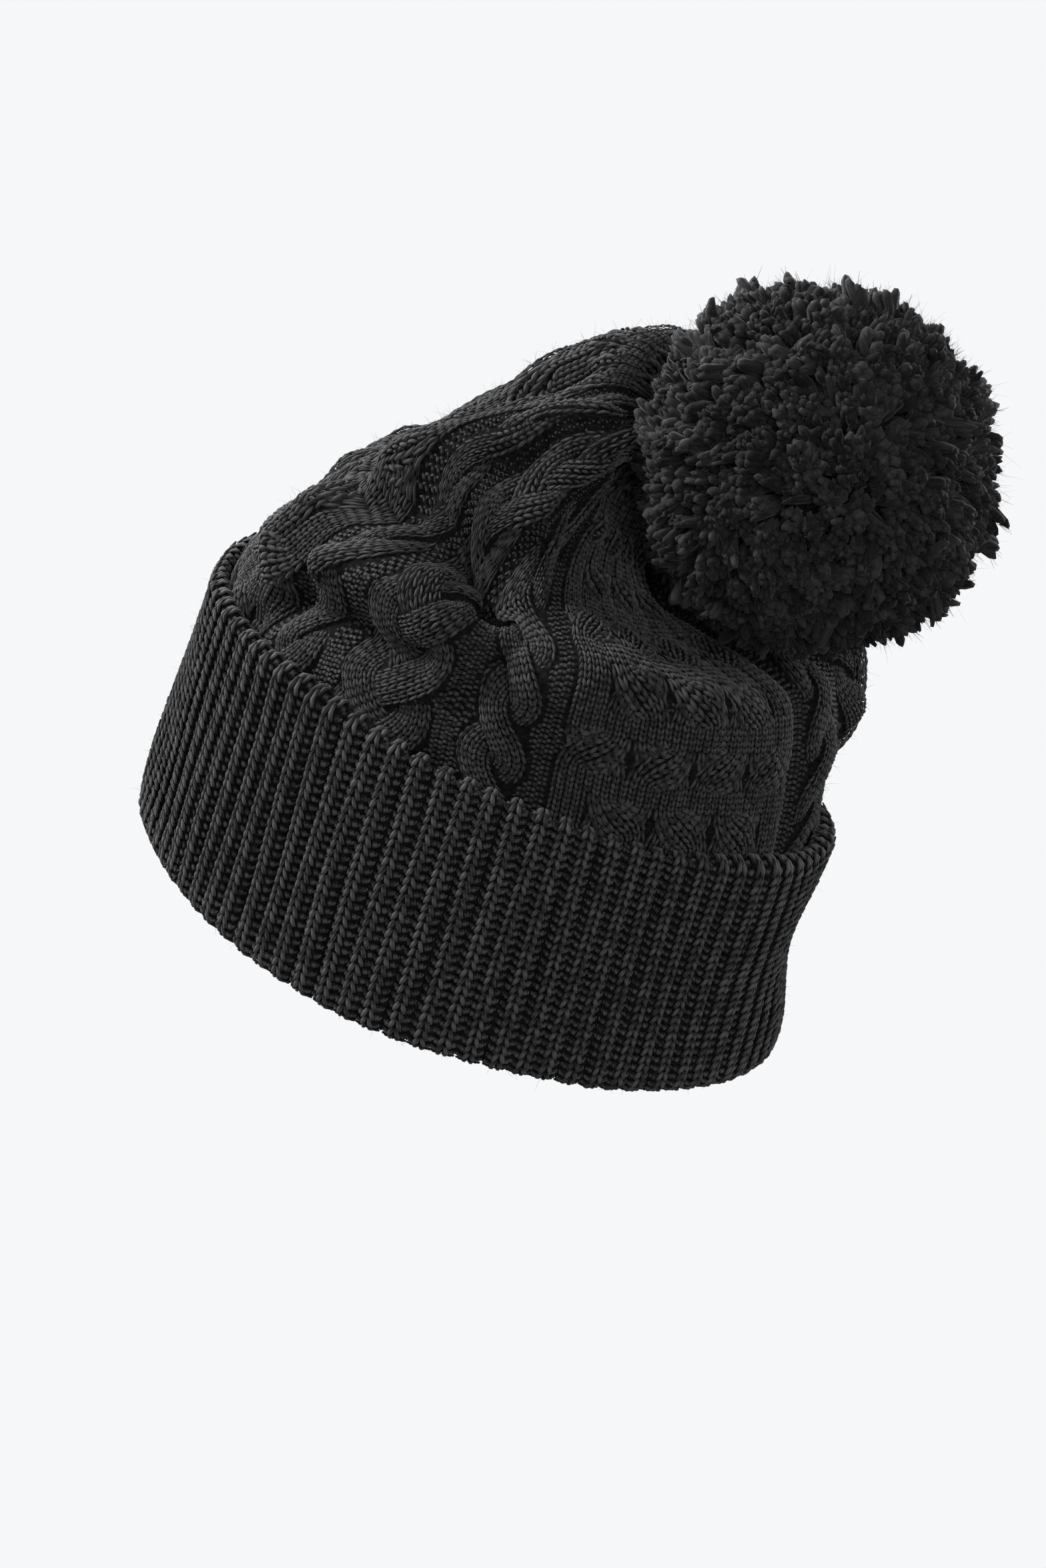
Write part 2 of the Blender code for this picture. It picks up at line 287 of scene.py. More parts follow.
class Graph:
    """A short way to lay out the nodes of one material."""

    def __init__(self, name: str) -> None:
        """Starts an empty material of that name with its surface shader."""
        self.material = bpy.data.materials.new(name)
        self.material.use_nodes = True
        self.tree = self.material.node_tree
        self.tree.nodes.clear()
        self.shader = self.node("ShaderNodeBsdfPrincipled")
        self.node("ShaderNodeOutputMaterial", {0: self.shader.outputs[0]})

    def fill(self, node: bpy.types.Node, inputs: dict[int | str, object]) -> None:
        """Gives each input of a node its value, or joins it to its socket."""
        for key, value in inputs.items():
            if isinstance(value, Socket):
                self.tree.links.new(value, node.inputs[key])
            else:
                node.inputs[key].default_value = value

    def node(self, kind: str, inputs: dict[int | str, object] | None = None,
             **settings: object) -> bpy.types.Node:
        """Adds a node.

        Args:
            kind: its type.
            inputs: numbers, colours or sockets for its inputs.
            settings: its attributes.

        Returns:
            The node.
        """
        made = self.tree.nodes.new(kind)
        for key, value in settings.items():
            setattr(made, key, value)
        self.fill(made, inputs or {})
        return made

    def maths(self, operation: str, a: object, b: object = 0.0) -> Socket:
        """Returns operation(a, b), where each is a number or a socket."""
        return self.node("ShaderNodeMath", {0: a, 1: b}, operation=operation).outputs[0]

    def mix(self, a: Socket, share_a: float, b: Socket, share_b: float) -> Socket:
        """Returns a * share_a + b * share_b."""
        return self.maths("ADD", self.maths("MULTIPLY", a, share_a),
                          self.maths("MULTIPLY", b, share_b))

    def noise(self, vector: Socket, scale: float, detail: float = 2.0,
              roughness: float = 0.5) -> Socket:
        """Returns the value of a noise pattern at vector."""
        return self.node("ShaderNodeTexNoise", {"Scale": scale, "Detail": detail, "Vector": vector,
                                                "Roughness": roughness}).outputs["Fac"]

    def strand(self) -> list[Socket]:
        """Returns the across, along and tone of the strand."""
        strand = self.node("ShaderNodeAttribute", attribute_name="strand")
        return list(self.node("ShaderNodeSeparateXYZ", {0: strand.outputs["Vector"]}).outputs)

    def where(self, **change: tuple[float, float, float]) -> tuple[Socket, Socket]:
        """Returns the object coordinates, and the same with a Scale or Rotation."""
        plain = self.node("ShaderNodeTexCoord").outputs["Object"]
        return plain, self.node("ShaderNodeMapping", {"Vector": plain, **change}).outputs[0]

    def paint(self, value: Socket, *stops: tuple[float, tuple[float, ...]]) -> None:
        """Colours the surface by a ramp.

        Args:
            value: what the ramp is read at.
            stops: places from 0 to 1 with their colours.
        """
        made = self.node("ShaderNodeValToRGB", {0: value})
        band = made.color_ramp.elements
        while len(band) < len(stops):
            band.new(0.5)
        for element, (place, colour) in zip(band, stops):
            element.position, element.color = place, (*colour, 1)
        self.fill(self.shader, {"Base Color": made.outputs["Color"]})

    def bump(self, value: Socket, strength: float, distance: float) -> None:
        """Raises the surface by value, distance being its full height in metres."""
        made = self.node("ShaderNodeBump", {"Strength": strength, "Distance": distance,
                                            "Height": value})
        self.fill(self.shader, {"Normal": made.outputs[0]})


@dataclass(frozen=True)
class YarnFinish:
    """Wool yarn: fibre streaks that run along each strand, partly fibre texture and partly painted
    highlight, a tone of its own per strand, and painted shade at each strand's tucked ends.

    Attributes:
        name: the material's name.
        painted_end_shade: painted shade, how much lighter a strand's raised middle is painted than
            its tucked ends; negative paints the ends lighter instead.
        variety: how much strands differ in tone.
        dark: linear grey between the fibres, painted shade.
        light: linear grey of the fibres that catch the light.
        warmth: how much redder than grey it is.
        fibres: streaks across one strand.
        twist: how far the streaks wind across along one strand.
        roughness: of the surface.
        sheen: soft light that the fuzz throws back.
        relief: bump height in metres.
    """

    name: str
    painted_end_shade: float = 0.6
    variety: float = 0.36
    dark: float = 0.0025
    light: float = 0.125
    warmth: float = 0.02
    fibres: float = 7.0
    twist: float = 0.45
    roughness: float = 0.8
    sheen: float = 0.35
    relief: float = 0.25 * MM

    def grey(self, level: float) -> tuple[float, float, float]:
        """Returns a grey of that linear level with the finish's warmth."""
        return (level * (1 + self.warmth), level, level * (1 - self.warmth * 0.5))

    def make(self) -> Material:
        """Builds the material.

        The streaks are a noise at ((across + twist * along) * fibres, 1.6 * along, 40 * tone).

        Returns:
            The material.
        """
        g = Graph(self.name)
        across, along, tone = g.strand()
        twisted = g.maths("ADD", across, g.maths("MULTIPLY", along, self.twist))
        place = g.node("ShaderNodeCombineXYZ", {0: g.maths("MULTIPLY", twisted, self.fibres),
                                                1: g.maths("MULTIPLY", along, 1.6),
                                                2: g.maths("MULTIPLY", tone, 40.0)})
        # the streaks are partly fibre texture and partly painted highlight: the ramp paints them
        # light, with painted shade between them
        streak = g.noise(place.outputs[0], 1.3, 3.0, 0.6)
        # painted shade: a strand's ends are painted darker than its raised middle, as if tucked
        # into shade; a negative amount paints the ends lighter
        middle = g.maths("SINE", g.maths("MULTIPLY", along, math.pi))
        end_shade_paint = g.maths("MULTIPLY", g.maths("SUBTRACT", middle, 0.6), self.painted_end_shade)
        g.paint(g.maths("ADD", g.mix(streak, 0.75, tone, self.variety), end_shade_paint),
                (0.3, self.grey(self.dark)),
                (0.55, self.grey((self.dark + self.light) * 0.22)),
                (0.9, self.grey(self.light)))
        g.bump(streak, 0.7, self.relief)
        g.fill(g.shader, {"Roughness": self.roughness, "Specular IOR Level": 0.35,
                          "Sheen Weight": self.sheen, "Sheen Roughness": 0.45,
                          "Sheen Tint": (0.55, 0.55, 0.56, 1)})
        return g.material


@dataclass(frozen=True)
class ClothFinish:
    """The knitted ground under and inside the strands: rows of small loops seen as bumps, painted
    far darker than the yarn as shade, darkest in the hollows.

    Attributes:
        name: the material's name.
        dark: linear grey of the hollows, painted shade.
        light: linear grey of the loops, kept darker than the yarn as painted shade.
        pitch: size of one loop in metres.
        relief: bump height in metres.
    """

    name: str
    dark: float = 0.0015
    light: float = 0.007
    pitch: float = 1.9 * MM
    relief: float = 0.4 * MM

    def make(self) -> Material:
        """Builds the material: a cell pattern, wider than high, with fibre noise over it."""
        g = Graph(self.name)
        plain, flattened = g.where(Scale=(1.0, 1.0, 1.7))
        cells = g.node("ShaderNodeTexVoronoi", {"Scale": 1 / self.pitch, "Randomness": 0.6,
                                                "Vector": flattened})
        loops = g.maths("SUBTRACT", 1.0, cells.outputs["Distance"])
        shade = g.mix(loops, 0.7, g.noise(plain, 4000.0), 0.3)
        # painted shade: the cloth is painted much darker than the yarn, darkest in the hollows
        # between loops where shade falls among the stitches
        g.paint(shade, (0.25, (self.dark,) * 3), (0.85, (self.light,) * 3))
        g.bump(shade, 0.8, self.relief)
        g.fill(g.shader, {"Roughness": 0.95, "Specular IOR Level": 0.15, "Sheen Weight": 0.03,
                          "Sheen Tint": (0.5, 0.5, 0.5, 1)})
        return g.material


@dataclass(frozen=True)
class CordFinish:
    """Twisted tying cord: plies that wind round it, seen as slanting bands.

    Attributes:
        name: the material's name.
        level: linear grey of the plies.
        pitch: distance between plies in metres.
        relief: bump height in metres.
    """

    name: str
    level: float = 0.03
    pitch: float = 1.1 * MM
    relief: float = 0.3 * MM

    def make(self) -> Material:
        """Builds the material: slanting wave bands in object space plus fibre noise."""
        g = Graph(self.name)
        plain, slanted = g.where(Rotation=(0.6, 0.7, 0.4))
        bands = g.node("ShaderNodeTexWave", {"Scale": 0.314 / self.pitch, "Distortion": 0.6,
                                             "Vector": slanted}, bands_direction="X")
        shade = g.mix(bands.outputs["Fac"], 0.7, g.noise(plain, 5000.0), 0.3)
        g.paint(shade, (0.1, (self.level * 0.3,) * 3), (0.8, (self.level,) * 3))
        g.bump(shade, 0.8, self.relief)
        g.fill(g.shader, {"Roughness": 0.75, "Sheen Weight": 0.3})
        return g.material


@dataclass(frozen=True)
class LabelFinish:
    """Blank satin label: fine warp and weft, with sewn lines near its ends.

    Attributes:
        name: the material's name.
        level: linear grey of the satin.
        warp: how closely the threads across lie.
        weft: how closely the threads along lie.
        relief: bump height in metres.
    """

    name: str
    level: float = 0.55
    warp: float = 700.0
    weft: float = 620.0
    relief: float = 0.08 * MM

    def make(self) -> Material:
        """Builds the material: two crossed wave patterns, darkened along the hems."""
        g = Graph(self.name)
        across, along, _ = g.strand()
        warp = g.maths("SINE", g.maths("MULTIPLY", across, self.warp))
        weft = g.maths("SINE", g.maths("MULTIPLY", along, self.weft))
        weave = g.maths("ADD", 0.5, g.maths("MULTIPLY", g.maths("MULTIPLY", warp, weft), 0.5))
        from_middle = g.maths("ABSOLUTE", g.maths("SUBTRACT", along, 0.5))
        hem = g.maths("MULTIPLY", g.maths("GREATER_THAN", from_middle, 0.44), 0.6)
        g.paint(g.maths("SUBTRACT", weave, hem), (0.0, (self.level * 0.55,) * 3),
                (0.9, (self.level,) * 3))
        g.bump(weave, 0.4, self.relief)
        g.fill(g.shader, {"Roughness": 0.45, "Sheen Weight": 0.2})
        return g.material


# ---- the hat's own surfaces -------------------------------------------------------------------


@dataclass(frozen=True)
class Fold:
    """One crease or swell of the limp cloth, along a line given by angle and height.

    Attributes:
        line: (angle in degrees, height in mm) points that it passes through.
        rise: how far the cloth stands out there, in mm; negative sinks.
        width: distance in mm at which it has mostly died away.
        power: 2 for a round swell, lower for a sharper crease.
    """

    line: tuple[tuple[float, float], ...]
    rise: float
    width: float
    power: float = 2.0


FOLDS = (
    Fold(((-133, 137), (-118, 144), (-103, 142), (-90, 141), (-78, 138)), -11.0, 7.5),
    Fold(((-94, 142), (-82, 139), (-76, 136)), -13.0, 6.0),
    Fold(((-110, 150), (-101, 148), (-92, 146), (-82, 142), (-73, 137)), -8.0, 5.0, 1.6),
    Fold(((-134, 112), (-134, 150), (-119, 171), (-100, 183)), 8.0, 7.5),
    Fold(((-77, 151), (-82, 161), (-84, 172), (-93, 186)), 9.0, 7.0),
    Fold(((-58, 168), (-42, 158), (-18, 147), (-3, 135)), -8.0, 11.0),
    Fold(((-144, 146), (-148, 170), (-142, 190)), -6.0, 6.0),
    Fold(((-114, 120), (-98, 127), (-84, 124)), 8.0, 7.0),
    Fold(((-124, 97), (-106, 106), (-86, 107)), -6.5, 6.0),
    Fold(((-128, 84), (-122, 97), (-119, 112)), -5.0, 5.0),
    Fold(((-74, 104), (-70, 118), (-66, 132)), -5.0, 6.0),
    Fold(((-60, 118), (-44, 124), (-28, 120)), 4.0, 12.0),
    Fold(((30, 112), (42, 122), (55, 126)), 6.0, 14.0),
    Fold(((84, 120), (100, 132), (120, 136)), -7.0, 9.0),
    Fold(((70, 98), (95, 108), (120, 112)), 5.0, 10.0),
    Fold(((110, 150), (135, 160), (160, 158)), 5.0, 10.0),
    Fold(((160, 120), (178, 132), (198, 130)), 4.0, 10.0),
    Fold(((25, 90), (24, 102), (24, 112), (32, 119)), -4.0, 10.0),
    Fold(((-166, 127), (-166, 147), (-166, 162)), -3.0, 15.0),
    Fold(((-158, 182), (-156, 195)), 2.2, 12.0),
)


@dataclass
class CrownSurface:
    """The cloth of the crown: sloping ellipses from the rim to the gather, with its folds.

    Station k spans a front point (x, z) and a back point (x, z) and is so many mm wide;
    a point at angle a is middle + half span * cos a, half width * sin a. Stations are joined
    by a smooth curve, folds move the cloth along its normal, and rows are spaced by the arc
    length of the near side.
    """

    stations: tuple[tuple[float, ...], ...] = (
        (-101.0, 60.0, 101.0, 60.0, 81.6), (-100.0, 81.0, 100.4, 77.0, 80.8),
        (-93.0, 99.0, 99.0, 93.0, 84.6), (-81.0, 117.0, 96.0, 109.0, 86.5),
        (-66.0, 134.0, 89.0, 120.5, 84.5), (-48.5, 152.0, 73.0, 125.0, 78.0),
        (-29.0, 172.0, 55.0, 127.0, 68.0), (-7.5, 191.0, 41.0, 134.5, 54.0),
        (12.0, 202.5, 35.5, 147.0, 39.0), (20.8, 194.0, 30.5, 160.8, 22.0),
        (24.0, 183.0, 28.8, 169.0, 8.5), (26.1, 178.0, 28.5, 171.4, 3.4))
    rows: int = 90
    around: int = 720
    per_row: int = 2
    t: Array = field(init=False)
    grid: Array = field(init=False)
    normals: Array = field(init=False)

    def __post_init__(self) -> None:
        """Works out the grid of points and normals, (around + 1, rows * per_row + 1, 3)."""
        fine = np.linspace(0, 1, 600)
        side = self.bare(np.full(len(fine), -math.pi / 2), fine)
        length = np.concatenate([[0], np.cumsum(np.linalg.norm(np.diff(side, axis=0), axis=1))])
        self.t = np.interp(np.linspace(0, length[-1], self.rows * self.per_row + 1), length, fine)
        angle = np.linspace(0, TAU, self.around + 1)[:, None]
        grid = self.bare(angle, self.t[None])
        rise = self.fold_rise(grid) + self.seam_rise(angle, grid)
        fade = np.clip((0.97 - self.t) / 0.1, 0, 1) * np.clip((self.t - 0.02) / 0.05, 0, 1)
        self.grid = grid + self.normals_of(grid) * (rise * fade)[..., None] * MM
        self.normals = self.normals_of(self.grid)

    def bare(self, angle: Array, t: Array) -> Array:
        """Follows the smooth curve through the stations.

        Args:
            angle: round the hat.
            t: 0 at the rim to 1 at the gather.

        Returns:
            Points of the unfolded cloth, in metres.
        """
        table = np.array(self.stations) * MM
        spans = len(table) - 1
        place = np.clip((t + 0 * angle) * spans, 0, spans - 1e-9)
        row = place.astype(int)
        f = (place - row)[..., None]
        ends = np.vstack([2 * table[0] - table[1], table, 2 * table[-1] - table[-2]])
        a, b, c, d = (ends[row + k] for k in range(4))
        station = 0.5 * (2 * b + (c - a) * f + (2 * a - 5 * b + 4 * c - d) * f**2
                         + (3 * b - a - 3 * c + d) * f**3)
        fx, fz, bx, bz, half = np.moveaxis(station, -1, 0)
        cos, sin = np.cos(angle), np.sin(angle)
        return np.stack([(fx + bx) / 2 + (bx - fx) / 2 * cos, half * sin,
                         (fz + bz) / 2 + (bz - fz) / 2 * cos], -1)

    @staticmethod
    def normals_of(grid: Array) -> Array:
        """Returns outward normals: d/dangle x d/drow, with the angle wrapped round."""
        turned = np.concatenate([grid[-2:-1], grid, grid[1:2]])
        return unit(np.cross(turned[2:] - turned[:-2], np.gradient(grid, axis=1)))

    def line_points(self, line: tuple[tuple[float, float], ...]) -> Array:
        """Follows a fold over the unfolded cloth.

        Args:
            line: (angle in degrees, height in mm) points of the fold.

        Returns:
            Ten points a stretch: the first t at each angle that reaches the height.
        """
        knots = np.arange(len(line))
        at = np.linspace(0, 1, 10 * knots[-1] + 1) * knots[-1]
        angle, height = (np.interp(at, knots, values) for values in zip(*line))
        angle, height = np.radians(angle), height * MM
        t = np.linspace(0, 0.9, 500)
        climb = self.bare(angle[:, None], t[None])[..., 2]
        return self.bare(angle, t[np.argmax(climb >= height[:, None], axis=1)])

    def fold_rise(self, grid: Array) -> Array:
        """Adds up the folds, rise * exp(-(distance / width)^power), on every fourth point.

        Args:
            grid: points of the unfolded cloth.

        Returns:
            The rise in mm at every point of the grid, straight in between.
        """
        step = 4
        coarse = grid[::step, ::step]
        total = np.zeros(coarse.shape[:2])
        for fold in FOLDS:
            line = self.line_points(fold.line)
            gap = np.linalg.norm(coarse[:, :, None] - line, axis=-1).min(-1) / MM
            total += fold.rise * bell(gap, fold.width, fold.power)
        for size in (grid.shape[1], grid.shape[0]):
            place = np.arange(size) / step
            low = np.clip(place.astype(int), 0, total.shape[1] - 2)
            f = place - low
            total = (total[:, low] * (1 - f) + total[:, low + 1] * f).T
        return total

    @staticmethod
    def seam_rise(angle: Array, grid: Array) -> Array:
        """Returns the groove of the centre-back seam and slow waves of the limp cloth, in mm."""
        x, y, z = np.moveaxis(grid, -1, 0) / MM
        groove = -2.2 * bell(y + 1.5, 3.2) * (np.cos(angle) > 0)
        waves = (0.9 * np.sin(x * 0.083 + y * 0.061 + 1.3) * np.sin(z * 0.11 + 0.4)
                 + 0.6 * np.sin(y * 0.15 - z * 0.09 + 2.0) * np.cos(x * 0.12))
        return groove + waves

    def at(self, angle: Array, row: Array, lift: Array) -> tuple[Array, Array]:
        """Returns points and normals at angle, knitted row and lift above the cloth."""
        return sample(self.grid, self.normals, angle / TAU * self.around, row * self.per_row, lift)


def sample(grid: Array, normals: Array, column: Array, row: Array,
           lift: Array) -> tuple[Array, Array]:
    """Bilinear lookup on a grid that wraps round its columns.

    Args:
        grid: (A + 1, S, 3), the last column repeating the first.
        normals: the same size.
        column: fractional column numbers, wrapped.
        row: fractional row numbers, held inside the grid.
        lift: distance along the normal.

    Returns:
        Points and unit normals.
    """
    column, row, lift = np.broadcast_arrays(column % (len(grid) - 1), row, lift)
    row = np.clip(row, 0, grid.shape[1] - 1.0001)
    i, j = column.astype(int), row.astype(int)
    f, g = (column - i)[..., None], (row - j)[..., None]

    def mixed(a: Array) -> Array:
        """Returns the bilinear mix of the four corners."""
        return ((a[i, j] * (1 - f) + a[i + 1, j] * f) * (1 - g)
                + (a[i, j + 1] * (1 - f) + a[i + 1, j + 1] * f) * g)

    n = unit(mixed(normals))
    return mixed(grid) + n * lift[..., None], n


@dataclass
class CuffSurface:
    """The cloth of the cuff: over the free edge, down the outside, round the fold, up inside.

    A ring at a given depth and height is the ellipse of the band, flared at the fold and
    tapered upwards, drawn in by the depth. The section is a half circle over the edge, a
    straight, a half circle round the fold, and a short straight. The pinch, in metres, and the
    sags of the fold, in mm, are bells: direction in degrees, size, and width in radians.
    """

    half_length: float = 107 * MM
    half_width: float = 88 * MM
    ply: float = 4.7 * MM
    fold_radius: float = 4.85 * MM
    tucked: float = 8 * MM
    height: float = 78 * MM
    drop_back: float = 5.4 * MM
    drop_right: float = 6.2 * MM
    flare: float = 0.022
    taper: float = 0.032
    pinch: tuple[float, float, float] = (28, 5.5 * MM, 0.55)
    pinch_height: float = 36 * MM
    pinch_spread: float = 22 * MM
    sags: tuple[tuple[float, float, float], ...] = ((-82, -1.8, 0.5), (-136, 3.3, 0.6))
    sag_height: float = 40 * MM
    course: float = 2.55 * MM
    around: int = 720
    grid: Array = field(init=False)
    normals: Array = field(init=False)
    courses: int = field(init=False)

    def __post_init__(self) -> None:
        """Works out the grid, (around + 1, S, 3), and how many courses it holds."""
        angle = np.linspace(0, TAU, self.around + 1)[:, None]
        depth, height = self.section(angle, np.linspace(0, 1, 121)[None])
        grid = self.ring(depth, height, angle)
        z = grid[..., 2] / MM
        wave = (0.9 * np.sin(4 * angle + 0.6 + z * 0.02) + 0.6 * np.sin(9 * angle + z * 0.05)) * MM
        outward = -CrownSurface.normals_of(grid)
        self.grid = grid + outward * (wave * np.clip(z / 20, 0.3, 1))[..., None]
        self.normals = -CrownSurface.normals_of(self.grid)
        edge, straight, fold = self.stretches(np.array(0.0))
        self.courses = int(round(float(edge + straight + fold + self.tucked) / self.course))

    def top(self, angle: Array) -> Array:
        """Returns the height of the free edge at angle."""
        return self.height - self.drop_back * np.cos(angle) - self.drop_right * np.sin(angle)

    def ring(self, depth: Array, height: Array, angle: Array) -> Array:
        """Places points on the ellipse of the band.

        Args:
            depth: under the outside.
            height: above the opening.
            angle: round the hat.

        Returns:
            The points, pinched in and sagging at the fold.
        """
        scale = 1 + self.flare - self.taper * height / self.height
        towards, pinch, width = self.pinch
        depth = depth + pinch * np.exp(-((turn_from(angle, towards) / width) ** 2)
                                       - ((height - self.pinch_height) / self.pinch_spread) ** 2)
        sag = sum(rise * bell(turn_from(angle, at), spread) for at, rise, spread in self.sags) * MM
        return np.stack(np.broadcast_arrays(
            (self.half_length * scale - depth) * np.cos(angle),
            (self.half_width * scale - depth) * np.sin(angle),
            height + 0 * depth + sag * np.clip(1 - height / self.sag_height, 0, 1)), -1)

    def stretches(self, angle: Array) -> tuple[float, Array, float]:
        """Returns the lengths of the path over the edge, down the straight and round the fold."""
        r = self.ply / 2
        return math.pi * r, self.top(angle) - r - self.fold_radius, math.pi * self.fold_radius

    def section(self, angle: Array, q: Array) -> tuple[Array, Array]:
        """Walks the section.

        Args:
            angle: round the hat.
            q: 0 to 1 along the path, by length.

        Returns:
            Depth under the outside and height.
        """
        r, big = self.ply / 2, self.fold_radius
        edge, straight, fold = self.stretches(angle)
        s = q * (edge + straight + fold + self.tucked)
        a = np.clip(s / edge, 0, 1) * math.pi
        b = np.clip((s - edge - straight) / fold, 0, 1) * math.pi
        down = np.clip(s - edge, 0, straight)
        up = np.clip(s - edge - straight - fold, 0, None)
        return (r + r * np.cos(a) + big - big * np.cos(b),
                self.top(angle) - r + r * np.sin(a) - down - big * np.sin(b) + up)

    def at(self, angle: Array, course: Array, lift: Array) -> tuple[Array, Array]:
        """Returns points and normals at angle, knitted course and lift above the cloth."""
        return sample(self.grid, self.normals, angle / TAU * self.around,
                      course / self.courses * (self.grid.shape[1] - 1), lift)


# ---- knitting ---------------------------------------------------------------------------------


STITCH_RINGS = {  # places along a stitch and its widths there: a full one, and a plain bump
    3: ((0.12, 0.5, 0.88), (0.8, 1.0, 0.66)),
    2: ((0.25, 0.75), (0.95, 0.95))}


def stitches(place: Place, foot: Spots, head: Spots, half_width: Array, half_height: Array,
             swell: float, rng: Random, rings: int = 3) -> Shape:
    """Many short strands laid on a cloth, each from its foot to its head with a raised middle.

    Args:
        place: gives points and normals from angle, row and lift.
        foot: angle, row and lift of each strand's lower end.
        head: the same for its upper end.
        half_width: (M,) half width in metres.
        half_height: (M,) half height in metres.
        swell: how much higher the middle lies, in metres.
        rng: source of the small irregularities.
        rings: sections along each strand, 3, or 2 for a plain bump.

    Returns:
        The strands as one shape, 8 triangles per ring each.
    """
    f, widths = (np.array(values)[None] for values in STITCH_RINGS[rings])
    jitter = rng.normal(0, 1, (3, len(foot[0]), 1))
    angle, row, lift = (a[:, None] * (1 - f) + b[:, None] * f for a, b in zip(foot, head))
    lift = lift + swell * (1 - (2 * f - 1) ** 2) + 0.07 * MM * jitter[1]
    path, normal = place(angle, row + 0.035 * jitter[0], lift)
    widths = widths * (1 + 0.06 * jitter[2])
    return tubes(path, normal, half_width[:, None] * widths, half_height[:, None] * widths,
                 polygon(4, True), rng.random(len(path)), 0.5)


class PanelKind(Enum):
    """The columns of the crown's pattern.

    Each has its wales, its strands, the wales of one strand, the row that its pattern starts
    from, how round its strands stand in mm, and the way that a rope turns.
    """

    LATTICE = (32, 8, 4, 4.0, 0.6, 0)
    ROPE = (8, 2, 4, 0.0, 1.1, 1)
    ROPE_MIRRORED = (8, 2, 4, 0.0, 1.1, -1)
    PLAIT = (14, 3, 5, 3.0, 1.1, 0)
    GROUND = (3, 0, 0, 0.0, 0.0, 0)

    def __init__(self, wales: int, strands: int, across: int, shift: float, round_mm: float,
                 way: int) -> None:
        """Names the numbers of one kind."""
        self.wales, self.strands, self.across = wales, strands, across
        self.shift, self.height, self.way = shift, round_mm * MM, way


